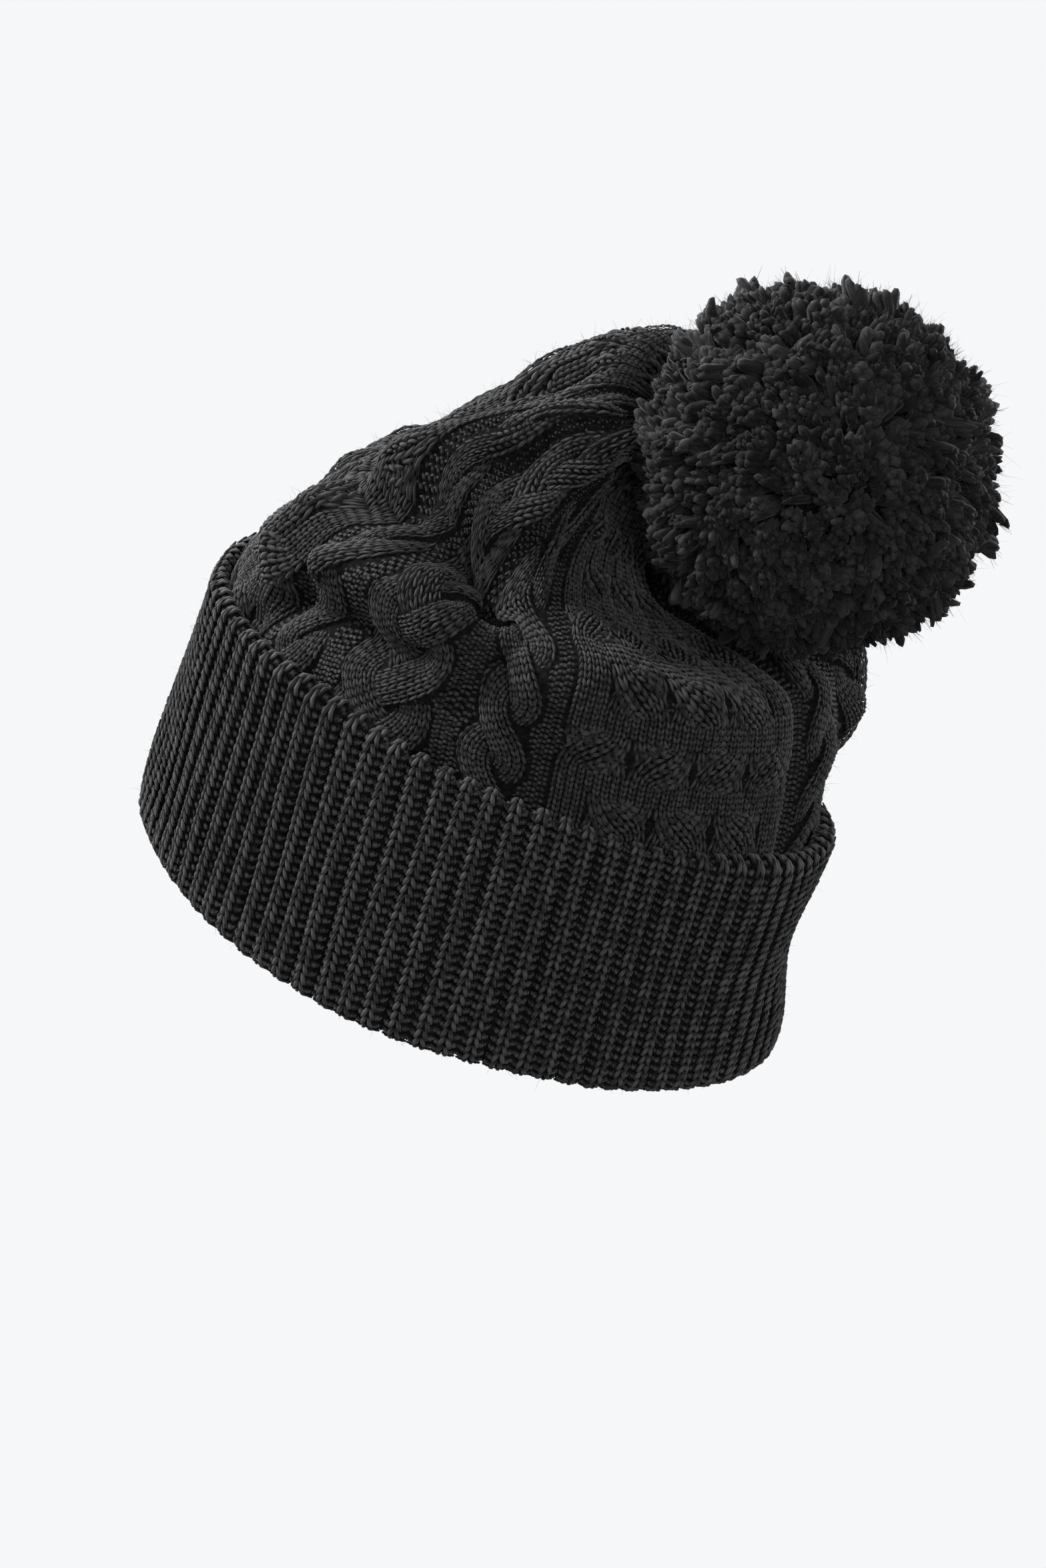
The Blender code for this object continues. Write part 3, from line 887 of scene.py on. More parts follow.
@dataclass
class CableCrown:
    """The cable-knit crown: lattice, ropes and plaits on a purl ground, and the cloth under them.

    Every wale takes an equal share of the turn. A strand's centre and height follow its cable:
    lattice strands step sideways over and under each other, a rope's two strands turn round
    each other, sin for the place and cos for the height, and a plait's three swing as sin a
    with height sin 2a. Towards the gather, stitches are knitted two and then four as one.
    """

    surface: CrownSurface
    yarn: Material
    cloth: Material
    wales: int = 222
    start: float = math.radians(-55.4)
    lattice_rise: float = 1.0 * MM
    sink: float = 1.0 * MM
    slant: float = 1.45
    rope_rise: float = 1.5 * MM
    plait_rise: float = 1.5 * MM
    step: float = 11.0
    by_twos: float = 0.58
    by_fours: float = 0.76
    thickness: float = 4.6 * MM
    heights: list[Spots] = field(default_factory=list)
    pattern: tuple[PanelKind, ...] = (
        PanelKind.LATTICE, PanelKind.GROUND, PanelKind.ROPE, PanelKind.GROUND, PanelKind.PLAIT,
        PanelKind.GROUND, PanelKind.ROPE_MIRRORED, PanelKind.GROUND)

    def route(self, kind: PanelKind, k: int, row: Array) -> Spots:
        """Follows one strand.

        Args:
            kind: its cable.
            k: its number in the cable.
            row: knitted rows.

        Returns:
            Its centre in wales from the panel's edge, its height in metres, and how far it
            spreads, 1 being its full width.
        """
        if kind is PanelKind.LATTICE:
            tau = row / self.step
            whole = np.floor(tau)
            f = np.clip((tau - whole - 0.2) / 0.6, 0, 1)
            q = (2 * k + whole + f * f * (3 - 2 * f)) % 16
            right = q < 8
            p = np.where(right, np.minimum(q, 7), np.maximum(15 - q, 0))
            lift = np.where(right, 1, -1) * np.cos(math.pi * (p - 0.5))
            return 4 * (p + 0.5), self.lattice_rise * lift, 1 + 0.45 * np.abs(lift)
        if kind is PanelKind.PLAIT:
            phase = row / (1.5 * self.step) * math.pi + TAU * k / 3
            return (7 + 4.4 * np.sin(phase), self.plait_rise * np.sin(2 * phase + 0.4),
                    0.92 - 0.1 * np.cos(phase) ** 2)
        turn = row / self.step * math.pi + math.pi * k
        return (4 + kind.way * 2.0 * np.sin(turn), self.rope_rise * np.cos(turn),
                1 - 0.15 * np.cos(turn) ** 2)

    def angle_of(self, wale: Array) -> Array:
        """Returns the angle of a wale number."""
        return self.start + wale * TAU / self.wales

    def width_at(self, angle: Array, row: Array) -> Array:
        """Returns the width of one wale on the cloth, in metres."""
        a, _ = self.surface.at(angle, row, np.zeros(1))
        b, _ = self.surface.at(angle + TAU / self.wales, row, np.zeros(1))
        return np.linalg.norm(b - a, axis=-1)

    def shown(self, angle: Array, row: Array, cuff: CuffSurface) -> Array:
        """Returns which stitches stand clear of the cuff or just inside its edge."""
        point, _ = self.surface.at(angle, row, np.zeros(1))
        return (point[..., 2] > cuff.top(angle) - 9 * MM) & (row < self.surface.rows - 5)

    def panel(self, kind: PanelKind, first: int, cuff: CuffSurface, rng: Random) -> Shape:
        """Knits one cable.

        Args:
            kind: its pattern.
            first: wale number of its edge.
            cuff: the cuff, which hides the lowest rows.
            rng: source of the small irregularities.

        Returns:
            Two slanting strands a stitch that meet at the top.
        """
        k, r, j, leg = every(np.arange(kind.strands), np.arange(3, self.surface.rows - 4),
                             np.arange(kind.across), LEGS)
        t = self.surface.t[r * self.surface.per_row]
        stride = np.where(t < self.by_twos, 1, np.where(t < self.by_fours, 2, 4))
        keep = j % stride == 0
        k, r, j, leg, stride = (a[keep] for a in (k, r, j, leg, stride))
        j = j + (stride - 1) / 2

        def spot(rows: Array, aside: Array) -> tuple[Spots, Array]:
            """Places points so far aside, square to their strands.

            Args:
                rows: knitted rows.
                aside: from the middle of the stitch, in wales.

            Returns:
                Their angle, row and lift, and how far the strand spreads there.
            """
            middle, after = np.zeros((2, 3, len(rows)))
            for strand in range(kind.strands):
                mine = k == strand
                middle[:, mine] = self.route(kind, strand, rows[mine] + kind.shift)
                after[:, mine] = self.route(kind, strand, rows[mine] + kind.shift + 0.5)
            centre, lift, spread = middle
            lean = np.arctan((after[0] - centre) * 2 * self.slant)
            off = ((j - (kind.across - 1) / 2) + aside * stride) * spread
            dome = 1 - (2 * off / spread / kind.across) ** 2
            lift = lift + kind.height * (np.maximum(dome, -0.6) - 0.55) - self.sink
            return (self.angle_of(first + centre + off * np.cos(lean)),
                    rows - off * self.slant * np.sin(lean), lift), spread

        base = r.astype(float)
        foot, spread = spot(base - 0.2, leg * 0.4)
        head, _ = spot(base + 1.1, leg * 0.13)
        wide = self.width_at(foot[0], base) * stride
        keep = self.shown(foot[0], base, cuff)
        foot, head = (tuple(a[keep] for a in end) for end in (foot, head))
        self.heights.append(tuple((a + b) / 2 for a, b in zip(foot, head)))
        half = np.clip((wide * spread)[keep] * 0.205, 0.28 * MM, 0.75 * MM)
        return stitches(self.surface.at, foot, head, half, np.maximum(half * 0.9, 0.45 * MM),
                        0.5 * MM, rng)

    def ground(self, cuff: CuffSurface, rng: Random) -> Shape:
        """Purls the cloth between the cables: a crosswise bump a stitch where no strand runs near.

        Args:
            cuff: the cuff, which hides the lowest rows.
            rng: source of the small irregularities.

        Returns:
            The bumps as one shape.
        """
        cells = (2 * self.wales, 2 * self.surface.rows)

        def cell(angle: Array, row: Array) -> tuple[Array, Array]:
            """Returns the half wale and half row that a point falls into."""
            return (np.round(angle / TAU * cells[0]).astype(int) % cells[0],
                    np.clip(np.round(2 * row).astype(int), 0, cells[1] - 1))

        taken = np.zeros(cells, bool)
        for angle, row, _ in self.heights:
            taken[cell(angle, row)] = True
        near = highest_near(taken)
        wider = near | np.roll(near, 1, 0) | np.roll(near, -1, 0)
        r, w = every(np.arange(6, 2 * self.surface.rows - 8) / 2, np.arange(float(self.wales)))
        t = self.surface.t[(r * self.surface.per_row).astype(int)]
        odd = (2 * r + w) % 2
        at, bow = self.angle_of(w + 0.25 + 0.5 * odd), 0.22 * (2 * odd - 1)
        free = ~np.where(t > 0.7, wider[cell(at, r)], near[cell(at, r)])
        keep = free & ~((t > 0.6) & (w % 2 == 1)) & self.shown(at, r, cuff)
        at, r, bow = at[keep], r[keep], bow[keep]
        low = np.full(len(r), -0.8 * MM - self.sink)
        reach = 0.42 * TAU / self.wales
        return stitches(self.surface.at, (at - reach, r - bow, low), (at + reach, r + bow, low),
                        np.clip(self.width_at(at, r) * 0.22, 0.25 * MM, 0.6 * MM),
                        np.full(len(r), 0.45 * MM), 0.35 * MM, rng, 2)

    def relief(self, turns: int, rows: int) -> Array:
        """Works out the cloth's height: that of the highest stitch near, smoothed, less 0.4 mm.

        Args:
            turns: grid points round the hat.
            rows: grid points from the rim to the gather.

        Returns:
            (turns, rows) heights in metres.
        """
        empty = -1
        grid = np.full((turns, rows), -99.0)
        for angle, row, lift in self.heights:
            i = np.round(angle / TAU * turns).astype(int) % turns
            j = np.round(row / (self.surface.rows - 1) * (rows - 1)).astype(int)
            np.maximum.at(grid, (i, np.clip(j, 0, rows - 1)), lift)
        grid = np.where(grid < empty, highest_near(grid), grid)
        grid = np.where(grid < empty, -0.75 * MM - self.sink, grid)
        for _ in range(2):
            wide = (np.roll(grid, 1, 0) + np.roll(grid, -1, 0)) / 4 + grid / 2
            grid = wide.copy()
            grid[:, 1:-1] = (wide[:, 2:] + wide[:, :-2]) / 4 + wide[:, 1:-1] / 2
        return grid - 0.4 * MM

    def lining(self, turns: int = 372, rows: int = 115, rows_inside: int = 36) -> Shape:
        """The cloth itself: its outside hugs the stitches from below, its inside is plain.

        Args:
            turns: grid points round the hat.
            rows: grid points up the outside.
            rows_inside: grid points up the inside.

        Returns:
            The cloth as one closed ring.
        """
        last = self.surface.rows - 1.0
        outside, _ = self.surface.at(around(turns), np.linspace(0, last, rows)[None],
                                     self.relief(turns, rows))
        inside, _ = self.surface.at(around(turns), np.linspace(last, 0, rows_inside)[None],
                                    np.array(-self.thickness))
        return wrapped_sheet(np.concatenate([outside, inside], 1), True)

    def build(self, cuff: CuffSurface, rng: Random) -> None:
        """Makes the crown's pieces, one per cable, and the cloth that they stand on.

        Args:
            cuff: the cuff, which hides the lowest rows.
            rng: source of the small irregularities.
        """
        wale, numbers = 0, {}
        for kind in self.pattern * 3:
            if kind is not PanelKind.GROUND:
                label = kind.name.lower()
                numbers[label] = numbers.get(label, 0) + 1
                add_piece(f"{label}_{numbers[label]}", self.panel(kind, wale, cuff, rng),
                          self.yarn, "root")
            wale += kind.wales
        add_piece("purl_ground", self.ground(cuff, rng), self.yarn, "root")
        add_piece("crown_cloth", self.lining(), self.cloth, "root", ("crown_body",))


@dataclass
class RibCuff:
    """The turned-up cuff: two plies of rib whose ridges roll over the edge and round the fold.

    The cloth's height across a rib is middle + half range * cos(ribs * angle), less round the
    fold; each course of a rib has two slanting strands that meet on its spine, one on each
    flank, and two purl bumps in the valley.
    """

    surface: CuffSurface
    yarn: Material
    cloth: Material
    ribs: int = 84
    ridge: float = 1.3 * MM
    valley: float = -2.3 * MM
    thickness: float = 3.6 * MM
    band_top: float = 59.5 * MM
    band_bottom: float = 6.35 * MM
    band_outside: float = 6.2 * MM
    band_inside: float = 9.4 * MM
    band_wave: float = 0.7 * MM
    band_course: float = 2.9 * MM

    @property
    def pitch(self) -> float:
        """The angle from one rib to the next."""
        return TAU / self.ribs

    def relief(self, angle: Array, course: Array) -> Array:
        """Returns the cloth's height across the ribs, in which the strands are half sunk."""
        return (-0.3 + self.calm(course) * (-0.4 + 1.6 * np.cos(self.ribs * angle))) * MM

    def outer_cloth(self) -> Shape:
        """Returns the outer ply and its fold as one closed ring."""
        s, angle = self.surface, around(self.ribs * 6)
        course = np.linspace(0, s.courses, 56)[None]
        outside, _ = s.at(angle, course, self.relief(angle, course))
        inside, _ = s.at(angle, course[:, ::-1], np.array(-self.thickness))
        return wrapped_sheet(np.concatenate([outside, inside[:, 3:-3:3]], 1)[:, ::-1], True)

    def inner_band(self) -> Shape:
        """Returns the inner ply, ribbed on both faces, from the fold up to the crown."""
        angle = around(self.ribs * 4)
        z = np.linspace(self.band_bottom, self.band_top, 24)[None]
        wave = self.band_wave * np.cos(self.ribs * angle)
        inside = self.surface.ring(self.band_inside + wave, z, angle)
        outside = self.surface.ring(self.band_outside + wave, z[:, ::-1], angle)
        return wrapped_sheet(np.concatenate([outside[:, ::-1], inside[:, ::-1]], 1), True)

    def inner_stitches(self, rng: Random) -> Shape:
        """Knits the ridges of the band's inside.

        Args:
            rng: source of the small irregularities.

        Returns:
            Two strands a course on each ridge.
        """
        i, c, leg = every(np.arange(float(self.ribs)), np.arange(17.0), LEGS)

        def place(angle: Array, row: Array, lift: Array) -> tuple[Array, Array]:
            """Returns points of the band's inside and its inward normals."""
            point = self.surface.ring(9.6 * MM + lift, 12 * MM + row * self.band_course, angle)
            return point, -np.stack([np.cos(angle), np.sin(angle), 0 * angle], -1)

        at, flat = (i + 0.5) * TAU / self.ribs, np.ones(len(c))
        foot = (at + leg * 0.32 * TAU / self.ribs, c - 0.35, -0.8 * MM * flat)
        head = (at + leg * 0.06 * TAU / self.ribs, c + 0.85, 0.5 * MM * flat)
        half = 0.95 * MM * flat
        return stitches(place, foot, head, half, half * 0.8, 0.35 * MM, rng, 2)

    def calm(self, course: Array) -> Array:
        """Returns how tall the ribs stand at a course: 1 on the straight, 0.2 round the fold."""
        return 1 - 0.8 * bell(course / self.surface.courses - 0.83, 0.09)

    def row_of(self, low: tuple[float, float, float], high: tuple[float, float, float],
               half_width: float, rng: Random, rings: int = 3) -> Shape:
        """Lays one mirrored pair of strands on every course of every rib.

        Args:
            low: share of the pitch aside, courses down and lift in metres of the lower end.
            high: the same for the upper end.
            half_width: in metres.
            rng: source of the small irregularities.
            rings: sections along each strand.

        Returns:
            The strands as one shape.
        """
        i, c, side = every(np.arange(float(self.ribs)), np.arange(self.surface.courses - 1.0), LEGS)
        at = i * self.pitch + 0.06 * self.pitch * np.sin(i * 1.7 + c * 0.15)
        foot, head = ((at + side * end[0] * self.pitch, c + end[1], end[2] * self.calm(c))
                      for end in (low, high))
        half = np.full(len(c), half_width)
        return stitches(self.surface.at, foot, head, half, half * 0.95, 0.35 * MM, rng, rings)

    def build(self, rng: Random) -> None:
        """Makes the cuff's pieces.

        Args:
            rng: source of the small irregularities.
        """
        ridge, valley = self.ridge, self.valley
        add_piece("cuff_cloth", self.outer_cloth(), self.cloth, "root",
                  ("cuff_turn_up",))
        add_piece("inner_band_cloth", self.inner_band(), self.cloth, "root",
                  ("rib_band_inner",))
        for name, low, high, half_width, rings in (
                ("cuff_spines", (0.225, 1.1, ridge - 1.1 * MM), (0.04, -0.35, ridge),
                 0.76 * MM, 3),
                ("cuff_flanks", (0.36, 1.1, valley + 0.9 * MM), (0.27, 0.1, ridge - 1.9 * MM),
                 0.84 * MM, 2),
                ("cuff_valleys", (0.37, 0.5, valley + 0.5 * MM), (0.47, 0.75, valley + 0.15 * MM),
                 0.82 * MM, 2)):
            add_piece(name, self.row_of(low, high, half_width, rng, rings), self.yarn, "root")
        add_piece("inner_band_ridges", self.inner_stitches(rng), self.yarn, "root")


# ---- pompom -----------------------------------------------------------------------------------


def even_directions(count: int) -> Array:
    """Returns count directions spread evenly: z steps down, the angle turns 137.5 degrees."""
    i = np.arange(count) + 0.5
    z = 1 - 2 * i / count
    a = i * math.pi * (3 - math.sqrt(5))
    r = np.sqrt(1 - z * z)
    return np.stack([r * np.cos(a), r * np.sin(a), z], -1)


@dataclass
class Pompom:
    """A ball of cut yarn ends round its centre, with a shallow cone where it lies on the hat."""

    yarn: Material
    deep: Material
    radius: float = 51.2 * MM
    cone_depth: float = 42 * MM
    cone_slope: float = 0.26
    tufts: int = 2300
    plies_each: int = 5
    needles_each: int = 4
    half_width: float = 2.5 * MM
    splay: float = 22 * MM
    slump: tuple[float, float, float] = (2.0 * MM, -2.0 * MM, -6.0 * MM)
    reach: float = 45 * MM
    tilt: float = math.radians(20)
    gather: tuple[float, float, float] = (27.3 * MM, 0.0, 174.7 * MM)

    @property
    def axis(self) -> Array:
        """Direction from the gather to the centre."""
        return np.array([math.cos(self.tilt), 0.0, math.sin(self.tilt)])

    @property
    def centre(self) -> Array:
        """The middle of the ball."""
        return np.array(self.gather) + self.reach * self.axis + np.array(self.slump)

    def reach_of(self, direction: Array) -> Array:
        """Returns how far the yarn may go: the ball, or the cone of its base where nearer."""
        down = -(direction @ self.axis)
        aside = np.sqrt(np.clip(1 - down * down, 0, 1))
        cone = self.cone_depth / np.maximum(down + self.cone_slope * aside, 1e-3)
        return np.minimum(self.radius, np.where(down > 0, cone, 1.0))

    def heart(self) -> Shape:
        """Returns the mass under the ends, painted dark as shade: a lumpy ball, 0.84 of the reach.
        """
        lat, lon = np.linspace(0.02, math.pi - 0.02, 48)[None], around(96)
        d = ball(lat, lon)
        size = self.reach_of(d) * (0.84 + 0.02 * np.sin(17 * lon + 5 * lat) * np.sin(13 * lat))
        return wrapped_sheet(self.centre + (d * size[..., None])[:, ::-1], False)

    def ends(self, rng: Random) -> tuple[Array, Array, Array]:
        """Lays out the yarn ends: even directions that lean together in places, some too long.

        Args:
            rng: source of their scatter.

        Returns:
            Paths (M, 6, 3), an up direction for each, and a tone for each.
        """
        d = unit(even_directions(self.tufts) + rng.normal(0, 0.022, (self.tufts, 3)))
        x, y, z = d.T
        lean = np.stack([np.sin(4.1 * y + 2.3 * z + 1.0), np.sin(3.7 * z + 2.9 * x + 2.0),
                         np.sin(4.3 * x + 2.1 * y)], -1) * 0.2
        clump = np.sin(9 * d[:, [1, 2, 0]] + 6 * d[:, [2, 0, 1]]) * 0.14
        lean = lean + clump + rng.normal(0, 0.24, (self.tufts, 3))
        lean -= d * (lean * d).sum(-1, keepdims=True)
        length = self.reach_of(d) * (0.985 + rng.normal(0, 0.036, self.tufts))
        long_one = rng.random(self.tufts) > 0.965
        length = length * np.where(long_one, 1 + 0.09 * rng.random(self.tufts), 1)
        f = np.array([0, 0.3, 0.6, 0.82, 0.95, 1])[None, :, None]
        start = length[:, None, None] * 0.62
        path = (self.centre + d[:, None] * (start + (length[:, None, None] - start) * f)
                + lean[:, None] * self.splay * f**1.6)
        up = unit(np.cross(d, rng.normal(0, 1, (self.tufts, 3))))
        return path, up[:, None], rng.random(self.tufts)

    def plies(self, path: Array, up: Array, thick: Array, tone: Array, rng: Random) -> Shape:
        """Splits each yarn end into plies that twist round it, splay and end unevenly.

        Ply k runs at thick * (0.55 + 0.35 f^3) from the path, at the angle tau k / each + 1.6 f.

        Args:
            path: (M, 6, 3) the yarn ends' paths.
            up: (M, 1, 3) a direction across each.
            thick: (M, 1) their half widths.
            tone: (M,) their tones.
            rng: source of the scatter.

        Returns:
            The plies as one shape.
        """
        m, each = len(path), self.plies_each
        f = np.array([0.3, 0.62, 0.88, 1.0])
        spine = path[:, [1, 3, 4, 5]]
        along = unit(spine[:, -1] - spine[:, 0])[:, None]
        side = np.cross(up, along)
        turn = (TAU * np.arange(each)[None, :, None] / each + 1.6 * f
                + rng.uniform(0, TAU, (m, 1, 1)) + rng.normal(0, 0.25, (m, each, 1)))
        out = thick[:, :, None] * (0.55 + 0.35 * f**3 + rng.normal(0, 0.1, (m, each, 1)))
        longer = rng.uniform(-1.9, 1.3, (m, each, 1)) * MM * f**2
        track = (spine[:, None] + along[:, :, None] * longer[..., None]
                 + up[:, :, None] * (out * np.cos(turn))[..., None]
                 + side[:, :, None] * (out * np.sin(turn))[..., None]).reshape(m * each, 4, 3)
        wide = (np.repeat(thick * rng.uniform(0.42, 0.62, (m, 1)), each, 0)
                * np.array([1.0, 1.1, 1.0, 0.55]))
        shade = np.clip(np.repeat(tone, each) + rng.normal(0, 0.12, m * each), 0, 1)
        across = unit(rng.normal(0, 1, (m * each, 1, 3)))
        return tubes(track, across, wide, wide, polygon(4), shade, 0.5,
                     rng.uniform(-0.6, 0.4, (m * each, 4)) * MM)

    def fray(self, path: Array, thick: Array, tone: Array, rng: Random) -> Shape:
        """Splayed fibres at the end of each yarn: three-sided needles.

        Args:
            path: the yarn ends' paths.
            thick: their half widths.
            tone: their tones.
            rng: source of the scatter.

        Returns:
            The needles as one shape.
        """
        each = self.needles_each
        tip = np.repeat(path[:, -1], each, 0)
        along = np.repeat(unit(path[:, -1] - path[:, -2]), each, 0)
        wide = np.repeat(thick[:, 0], each)[:, None]
        off = rng.normal(0, 1, tip.shape)
        off = unit(off - along * (off * along).sum(-1, keepdims=True))
        spread = rng.uniform(0.2, 1.1, (len(tip), 1))
        root = tip - along * 2.2 * MM + off * wide * spread * 0.9
        length = rng.uniform(2.2, 5.0, (len(tip), 1)) * MM
        end = root + along * length + off * rng.uniform(-0.3, 0.9, (len(tip), 1)) * length
        width = np.array([0.1, 0.03])[None] * MM
        return tubes(np.stack([root, end], 1), off[:, None], width, width, polygon(3),
                     np.repeat(tone, each), 0.2)

    def build(self, rng: Random) -> None:
        """Makes the pompom's pieces, its yarn ends in three of them.

        Args:
            rng: source of the scatter.
        """
        # the heart is painted dark as the shade inside the ball of yarn ends
        add_piece("pompom_heart", self.heart(), self.deep, "pompom",
                  ("pompom_yarn",))
        path, up, tone = self.ends(rng)
        thick = self.half_width * (1 + rng.normal(0, 0.2, (len(path), 1)))
        for number, part in enumerate(np.array_split(np.arange(len(path)), 3), 1):
            shape = self.plies(path[part], up[part], thick[part], tone[part], rng)
            add_piece(f"pompom_ends_{number}", shape, self.yarn, "pompom")
        add_piece("pompom_fray", self.fray(path, thick, tone, rng), self.yarn, "pompom")


@dataclass
class Fuzz:
    """Loose fibres that stand off the yarn: bent three-sided hairs."""

    yarn: Material
    half_width: float = 0.035 * MM
    crown_hairs: int = 2900
    cuff_hairs: int = 1600
    pompom_hairs: int = 4200

    def hairs(self, root: Array, normal: Array, shortest: float, longest: float,
              rng: Random) -> Shape:
        """Grows one hair from each root.

        Args:
            root: (M, 3) where they start.
            normal: (M, 3) the way out of the cloth.
            shortest: in mm.
            longest: in mm.
            rng: source of the scatter.

        Returns:
            The hairs as one shape.
        """
        m = len(root)
        length = rng.uniform(shortest, longest, m) * MM
        way = unit(normal * rng.uniform(0.25, 1.0, (m, 1)) + rng.normal(0, 0.6, (m, 3)))
        bend = rng.normal(0, 0.35, (m, 3))
        f = np.linspace(0, 1, 3)[None, :, None]
        path = (root[:, None] - normal[:, None] * 0.4 * MM
                + (way[:, None] * f + bend[:, None] * f * f) * length[:, None, None])
        width = self.half_width * np.array([1.0, 0.85, 0.35])[None]
        up = unit(np.cross(way, rng.normal(0, 1, (m, 3))))[:, None]
        return tubes(path, up, width, width, polygon(3), rng.random(m), 0.2)

    def build(self, crown: CrownSurface, cuff: CuffSurface, pompom: Pompom, rng: Random) -> None:
        """Makes the hairs of the crown and cuff, and those of the pompom.

        Args:
            crown: where the crown's hairs grow, above the cuff.
            cuff: where the cuff's grow.
            pompom: where the pompom's grow.
            rng: source of the scatter.
        """
        n = self.crown_hairs
        angle, row = rng.uniform(0, TAU, n), rng.uniform(9, 78, n)
        root, normal = crown.at(angle, row, np.full(n, 0.2 * MM))
        keep = root[:, 2] > cuff.top(angle)
        body = self.hairs(root[keep], normal[keep], 1.5, 4.2, rng)
        n = self.cuff_hairs
        angle, course = rng.uniform(0, TAU, n), rng.uniform(1, cuff.courses - 5, n)
        root, normal = cuff.at(angle, course, np.full(n, 0.8 * MM))
        body = body + self.hairs(root, normal, 1.2, 3.0, rng)
        add_piece("knit_fuzz", body, self.yarn, "root")
        n = self.pompom_hairs
        d = unit(rng.normal(0, 1, (n, 3)))
        root = pompom.centre + d * (pompom.reach_of(d) * rng.uniform(0.93, 1.02, n))[:, None]
        add_piece("pompom_fuzz", self.hairs(root, d, 2.5, 7.5, rng), self.yarn, "pompom")


# ---- trimmings --------------------------------------------------------------------------------


@dataclass
class Trimmings:
    """What is sewn or tied inside: the back seam, the blank label and the tying cords."""

    surface: CrownSurface
    yarn: Material
    label: Material
    cord: Material
    seam_turn: float = 3.2 / 95
    cords: tuple[str, ...] = ("gather_thread", "gather_knot", "anchor_knot", "tie_neck",
                              "tie_knot", "pompom_tie_cord", "binding_cord", "pompom_core")

    def seam(self, rng: Random) -> Shape:
        """Sews an overlocked ridge on the inside of the centre back.

        Args:
            rng: source of the small irregularities.

        Returns:
            A chain of slanting strands.
        """
        row, leg = every(np.arange(2.0, self.surface.rows - 12), LEGS)
        low, wide = np.full(len(row), -5.2 * MM), leg * self.seam_turn
        half = np.full(len(row), 0.75 * MM)
        return stitches(self.surface.at, (wide, row, low), (wide * 0.12, row + 1.2, low - 1.3 * MM),
                        half, half, -0.3 * MM, rng)

    def care_label(self) -> Shape:
        """A blank label on the inside of the back: a thin closed sheet that bows off the cloth.

        Its face bows by sin(pi u) * sin(pi v)^0.5, and its edge joins the face to the back.

        Returns:
            The label as one closed shape.
        """
        w, h = 25, 21
        n = w * h
        u, v = np.meshgrid(np.linspace(0, 1, w), np.linspace(0, 1, h), indexing="ij")
        angle, row = np.radians(6 + 18 * u), 5.5 + 16.0 * v
        bow = (-5.6 - 1.4 * np.sin(math.pi * u) * np.sin(math.pi * np.clip(v, 0.1, 1)) ** 0.5) * MM
        points = np.concatenate([self.surface.at(angle, row, lift)[0].reshape(-1, 3)
                                 for lift in (bow, bow + 0.5 * MM)])
        q = quads_of(w, h, (False, False))
        rim = np.concatenate([np.arange(h - 1), np.arange(w - 1) * h + h - 1,
                              (w - 1) * h + np.arange(h - 1, 0, -1), np.arange(w - 1, 0, -1) * h])
        after = np.roll(rim, -1)
        wall = np.stack([rim, rim + n, after + n, after], -1)
        strand = np.stack([u, v, 0 * u], -1).reshape(-1, 3)
        return Shape(points, np.concatenate([q, q[:, ::-1] + n, wall]), np.zeros((0, 3), int),
                     np.concatenate([strand, strand]))

    def build(self, nodes: dict[str, bpy.types.Object], rng: Random) -> None:
        """Makes the seam and the label, and dresses the tying cords that are kept as packed.

        Args:
            nodes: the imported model's objects by name.
            rng: source of the small irregularities.
        """
        add_piece("back_seam_chain", self.seam(rng), self.yarn, "root",
                  ("back_seam",))
        label = add_piece("blank_label", self.care_label(), self.label, "root",
                          ("care_label",))
        for name in self.cords:
            materials = nodes[name].data.materials
            materials.clear()
            materials.append(self.cord)
            LOG.info("%s: cord finish", name)


# ---- studio -----------------------------------------------------------------------------------


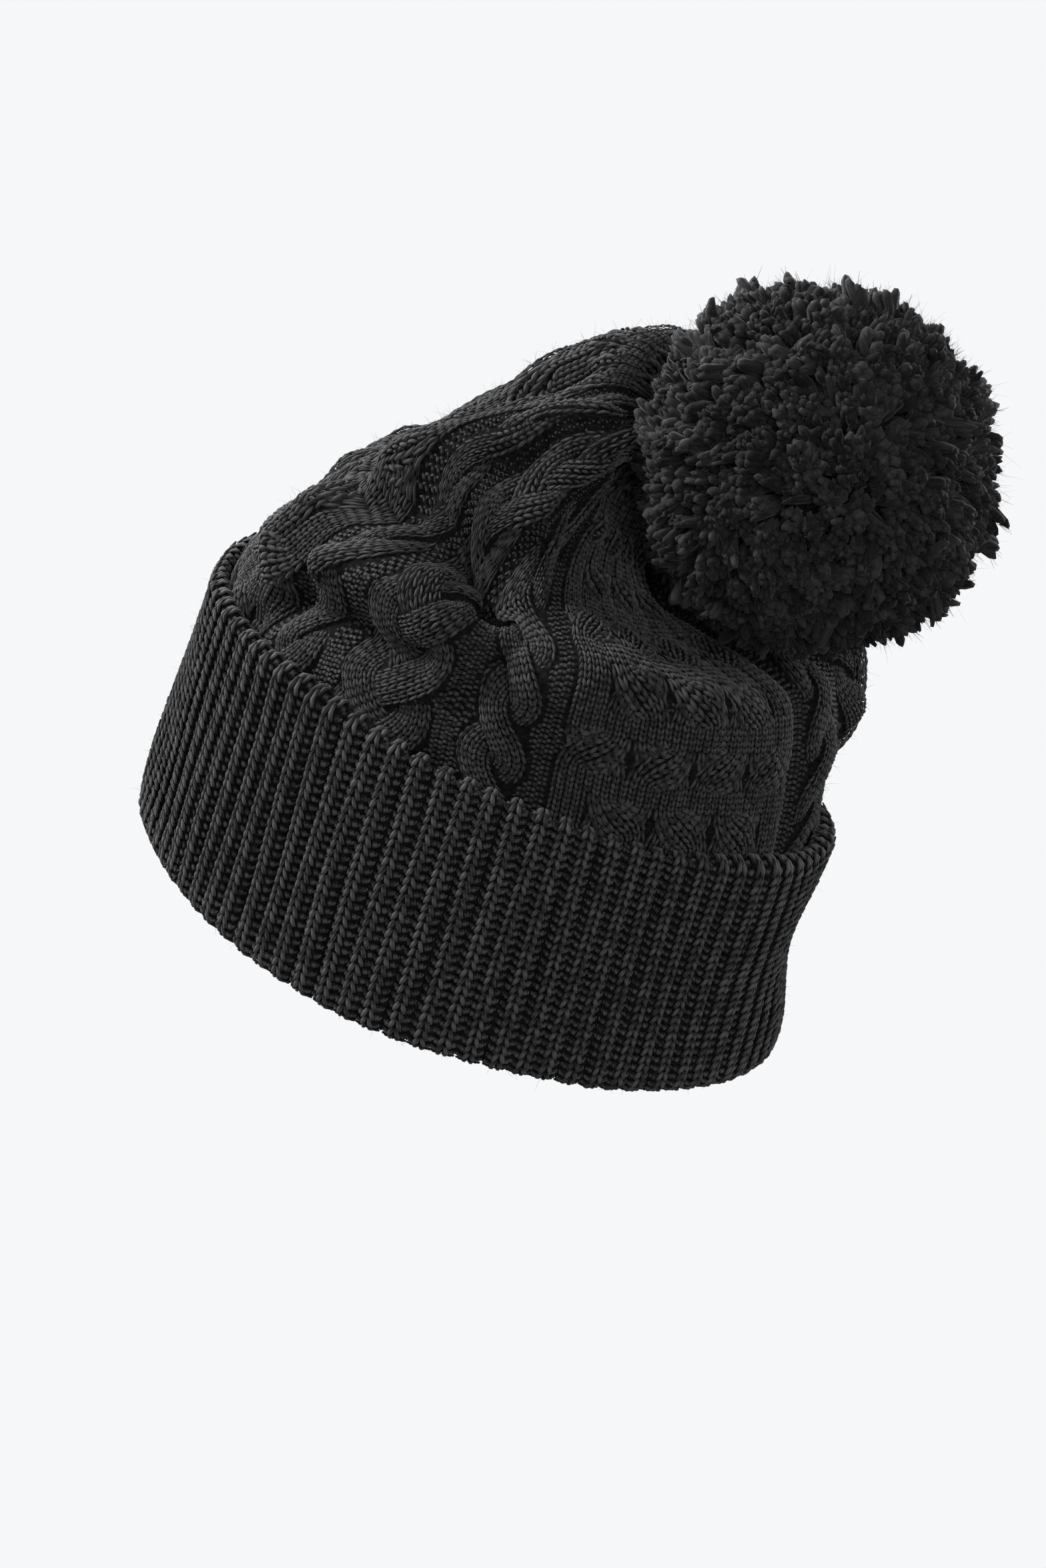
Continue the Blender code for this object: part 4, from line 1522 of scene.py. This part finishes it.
@dataclass
class Studio:
    """Pale floor, even surroundings, soft lights and the camera.

    The camera looks from behind the wearer's left side, 30 degrees off square and 22.3 degrees
    above the rim, and is rolled 16.9 degrees. A light is a name, metres to the view's right, to
    its top and towards the camera from the hat, the side of its square in metres, and watts.
    """

    pale: tuple[float, float, float] = (0.921, 0.930, 0.947)
    turn: float = math.radians(30)
    rise: float = math.radians(22.3)
    roll: float = math.radians(16.87)
    distance: float = 1.3
    lens: float = 98.02
    floor_size: float = 4.0
    floor_height: float = -6 * MM
    ambient: float = 0.14
    lights: tuple[tuple[str, float, float, float, float, float], ...] = (
        ("key", -1.3, 1.25, 0.3, 0.5, 33.0), ("rim", -0.9, 1.0, -1.2, 0.8, 30.0),
        ("fill", 0.3, 0.1, 1.8, 0.8, 9.8), ("far_rim", 1.4, 0.5, -1.0, 0.8, 14.0))

    def directions(self) -> tuple[Vector, Vector, Vector]:
        """Returns the view's right, up and towards-camera directions, roll included."""
        back = Vector((math.sin(self.turn) * math.cos(self.rise),
                       -math.cos(self.turn) * math.cos(self.rise), math.sin(self.rise)))
        right = Vector((math.cos(self.turn), math.sin(self.turn), 0))
        up = back.cross(right)
        cos, sin = math.cos(self.roll), math.sin(self.roll)
        return cos * right + sin * up, cos * up - sin * right, back

    def camera(self) -> None:
        """Puts the camera in place, aimed a little beside and below the cuff's edge."""
        right, up, back = self.directions()
        data = bpy.data.cameras.new("camera")
        data.lens, data.sensor_width, data.sensor_fit = self.lens, 36.0, "AUTO"
        data.clip_start, data.clip_end = 0.05, 100.0
        aim = Vector((0, 0, 64 * MM)) + right * 3.86 * MM - up * 14.9 * MM
        turn = Matrix((right, up, back)).transposed().to_4x4()
        obj = put("camera", data)
        obj.matrix_world = Matrix.Translation(aim + back * self.distance) @ turn
        bpy.context.scene.camera = obj

    def glow(self, name: str, shape: Shape) -> None:
        """Adds a stage surface that shows the pale colour but neither lights nor shades the hat.

        Args:
            name: of the surface.
            shape: its form.
        """
        g = Graph(f"pale_{name}")
        g.fill(g.shader, {"Base Color": (0, 0, 0, 1), "Specular IOR Level": 0.0, "Roughness": 1.0,
                          "Emission Color": (*self.pale, 1), "Emission Strength": 1.0})
        mesh = bpy.data.meshes.new(name)
        mesh.from_pydata(shape.points.tolist(), [], shape.quads.tolist() + shape.triangles.tolist())
        mesh.materials.append(g.material)
        made = put(name, mesh)
        made.visible_diffuse = made.visible_glossy = made.visible_shadow = False

    def surroundings(self) -> None:
        """Lights the world dimly and lays the pale floor and the pale dome round it."""
        world = bpy.data.worlds.new("studio")
        world.use_nodes = True
        ground = world.node_tree.nodes["Background"]
        ground.inputs[0].default_value = (*self.pale, 1)
        ground.inputs[1].default_value = self.ambient
        bpy.context.scene.world = world
        r, z = self.floor_size, self.floor_height
        corner = np.array([(-r, -r, z), (r, -r, z), (r, r, z), (-r, r, z)])
        self.glow("floor", Shape(corner, np.array([[0, 1, 2, 3]]), np.zeros((0, 3), int), corner))
        dome = ball(np.linspace(0.05, math.pi - 0.05, 25)[None], around(48)) * r
        self.glow("dome", wrapped_sheet(dome, False))

    def build(self) -> None:
        """Makes the camera, the surroundings and the lights."""
        bpy.context.scene.view_settings.view_transform = "Standard"
        self.camera()
        self.surroundings()
        right, up, back = self.directions()
        for name, across, above, towards, size, power in self.lights:
            data = bpy.data.lights.new(name, "AREA")
            data.shape, data.size, data.energy = "SQUARE", size, power
            place = right * across + up * above + back * towards
            obj = put(name, data)
            obj.rotation_mode = "QUATERNION"
            obj.location = Vector((0, 0, 0.1)) + place
            obj.rotation_quaternion = place.to_track_quat("Z", "Y")


def main() -> None:
    """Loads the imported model, builds each part of the hat and the studio, and notes the sizes."""
    logging.basicConfig(level=logging.INFO, format="%(message)s")
    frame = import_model()
    rng = np.random.default_rng(7)
    rib = YarnFinish("rib_knit_yarn").make()
    # the cloth finishes are painted shade: far darker than the yarn that lies over them
    crown = CableCrown(CrownSurface(), YarnFinish("cable_knit_yarn", light=0.084).make(),
                       ClothFinish("cable_ground", light=0.018).make())
    cuff = RibCuff(CuffSurface(), rib, ClothFinish("rib_ground", light=0.016).make())
    pompom = Pompom(YarnFinish("pompom_yarn_ends", painted_end_shade=-0.1, variety=0.5, dark=0.0012, light=0.045,
                               fibres=5.0, sheen=0.2, relief=0.3 * MM).make(),
                    ClothFinish("pompom_heart", dark=0.003, light=0.01).make())
    fuzz = Fuzz(YarnFinish("loose_fibre", painted_end_shade=0.0, dark=0.02, light=0.10, sheen=0.5).make())
    trimmings = Trimmings(crown.surface, rib, LabelFinish("label_satin").make(),
                          CordFinish("tying_cord").make())
    crown.build(cuff.surface, rng)
    cuff.build(rng)
    pompom.build(rng)
    fuzz.build(crown.surface, cuff.surface, pompom, rng)
    trimmings.build(frame["nodes"], rng)
    Studio().build()
    bpy.context.view_layer.update()


if __name__ == "__main__":
    main()
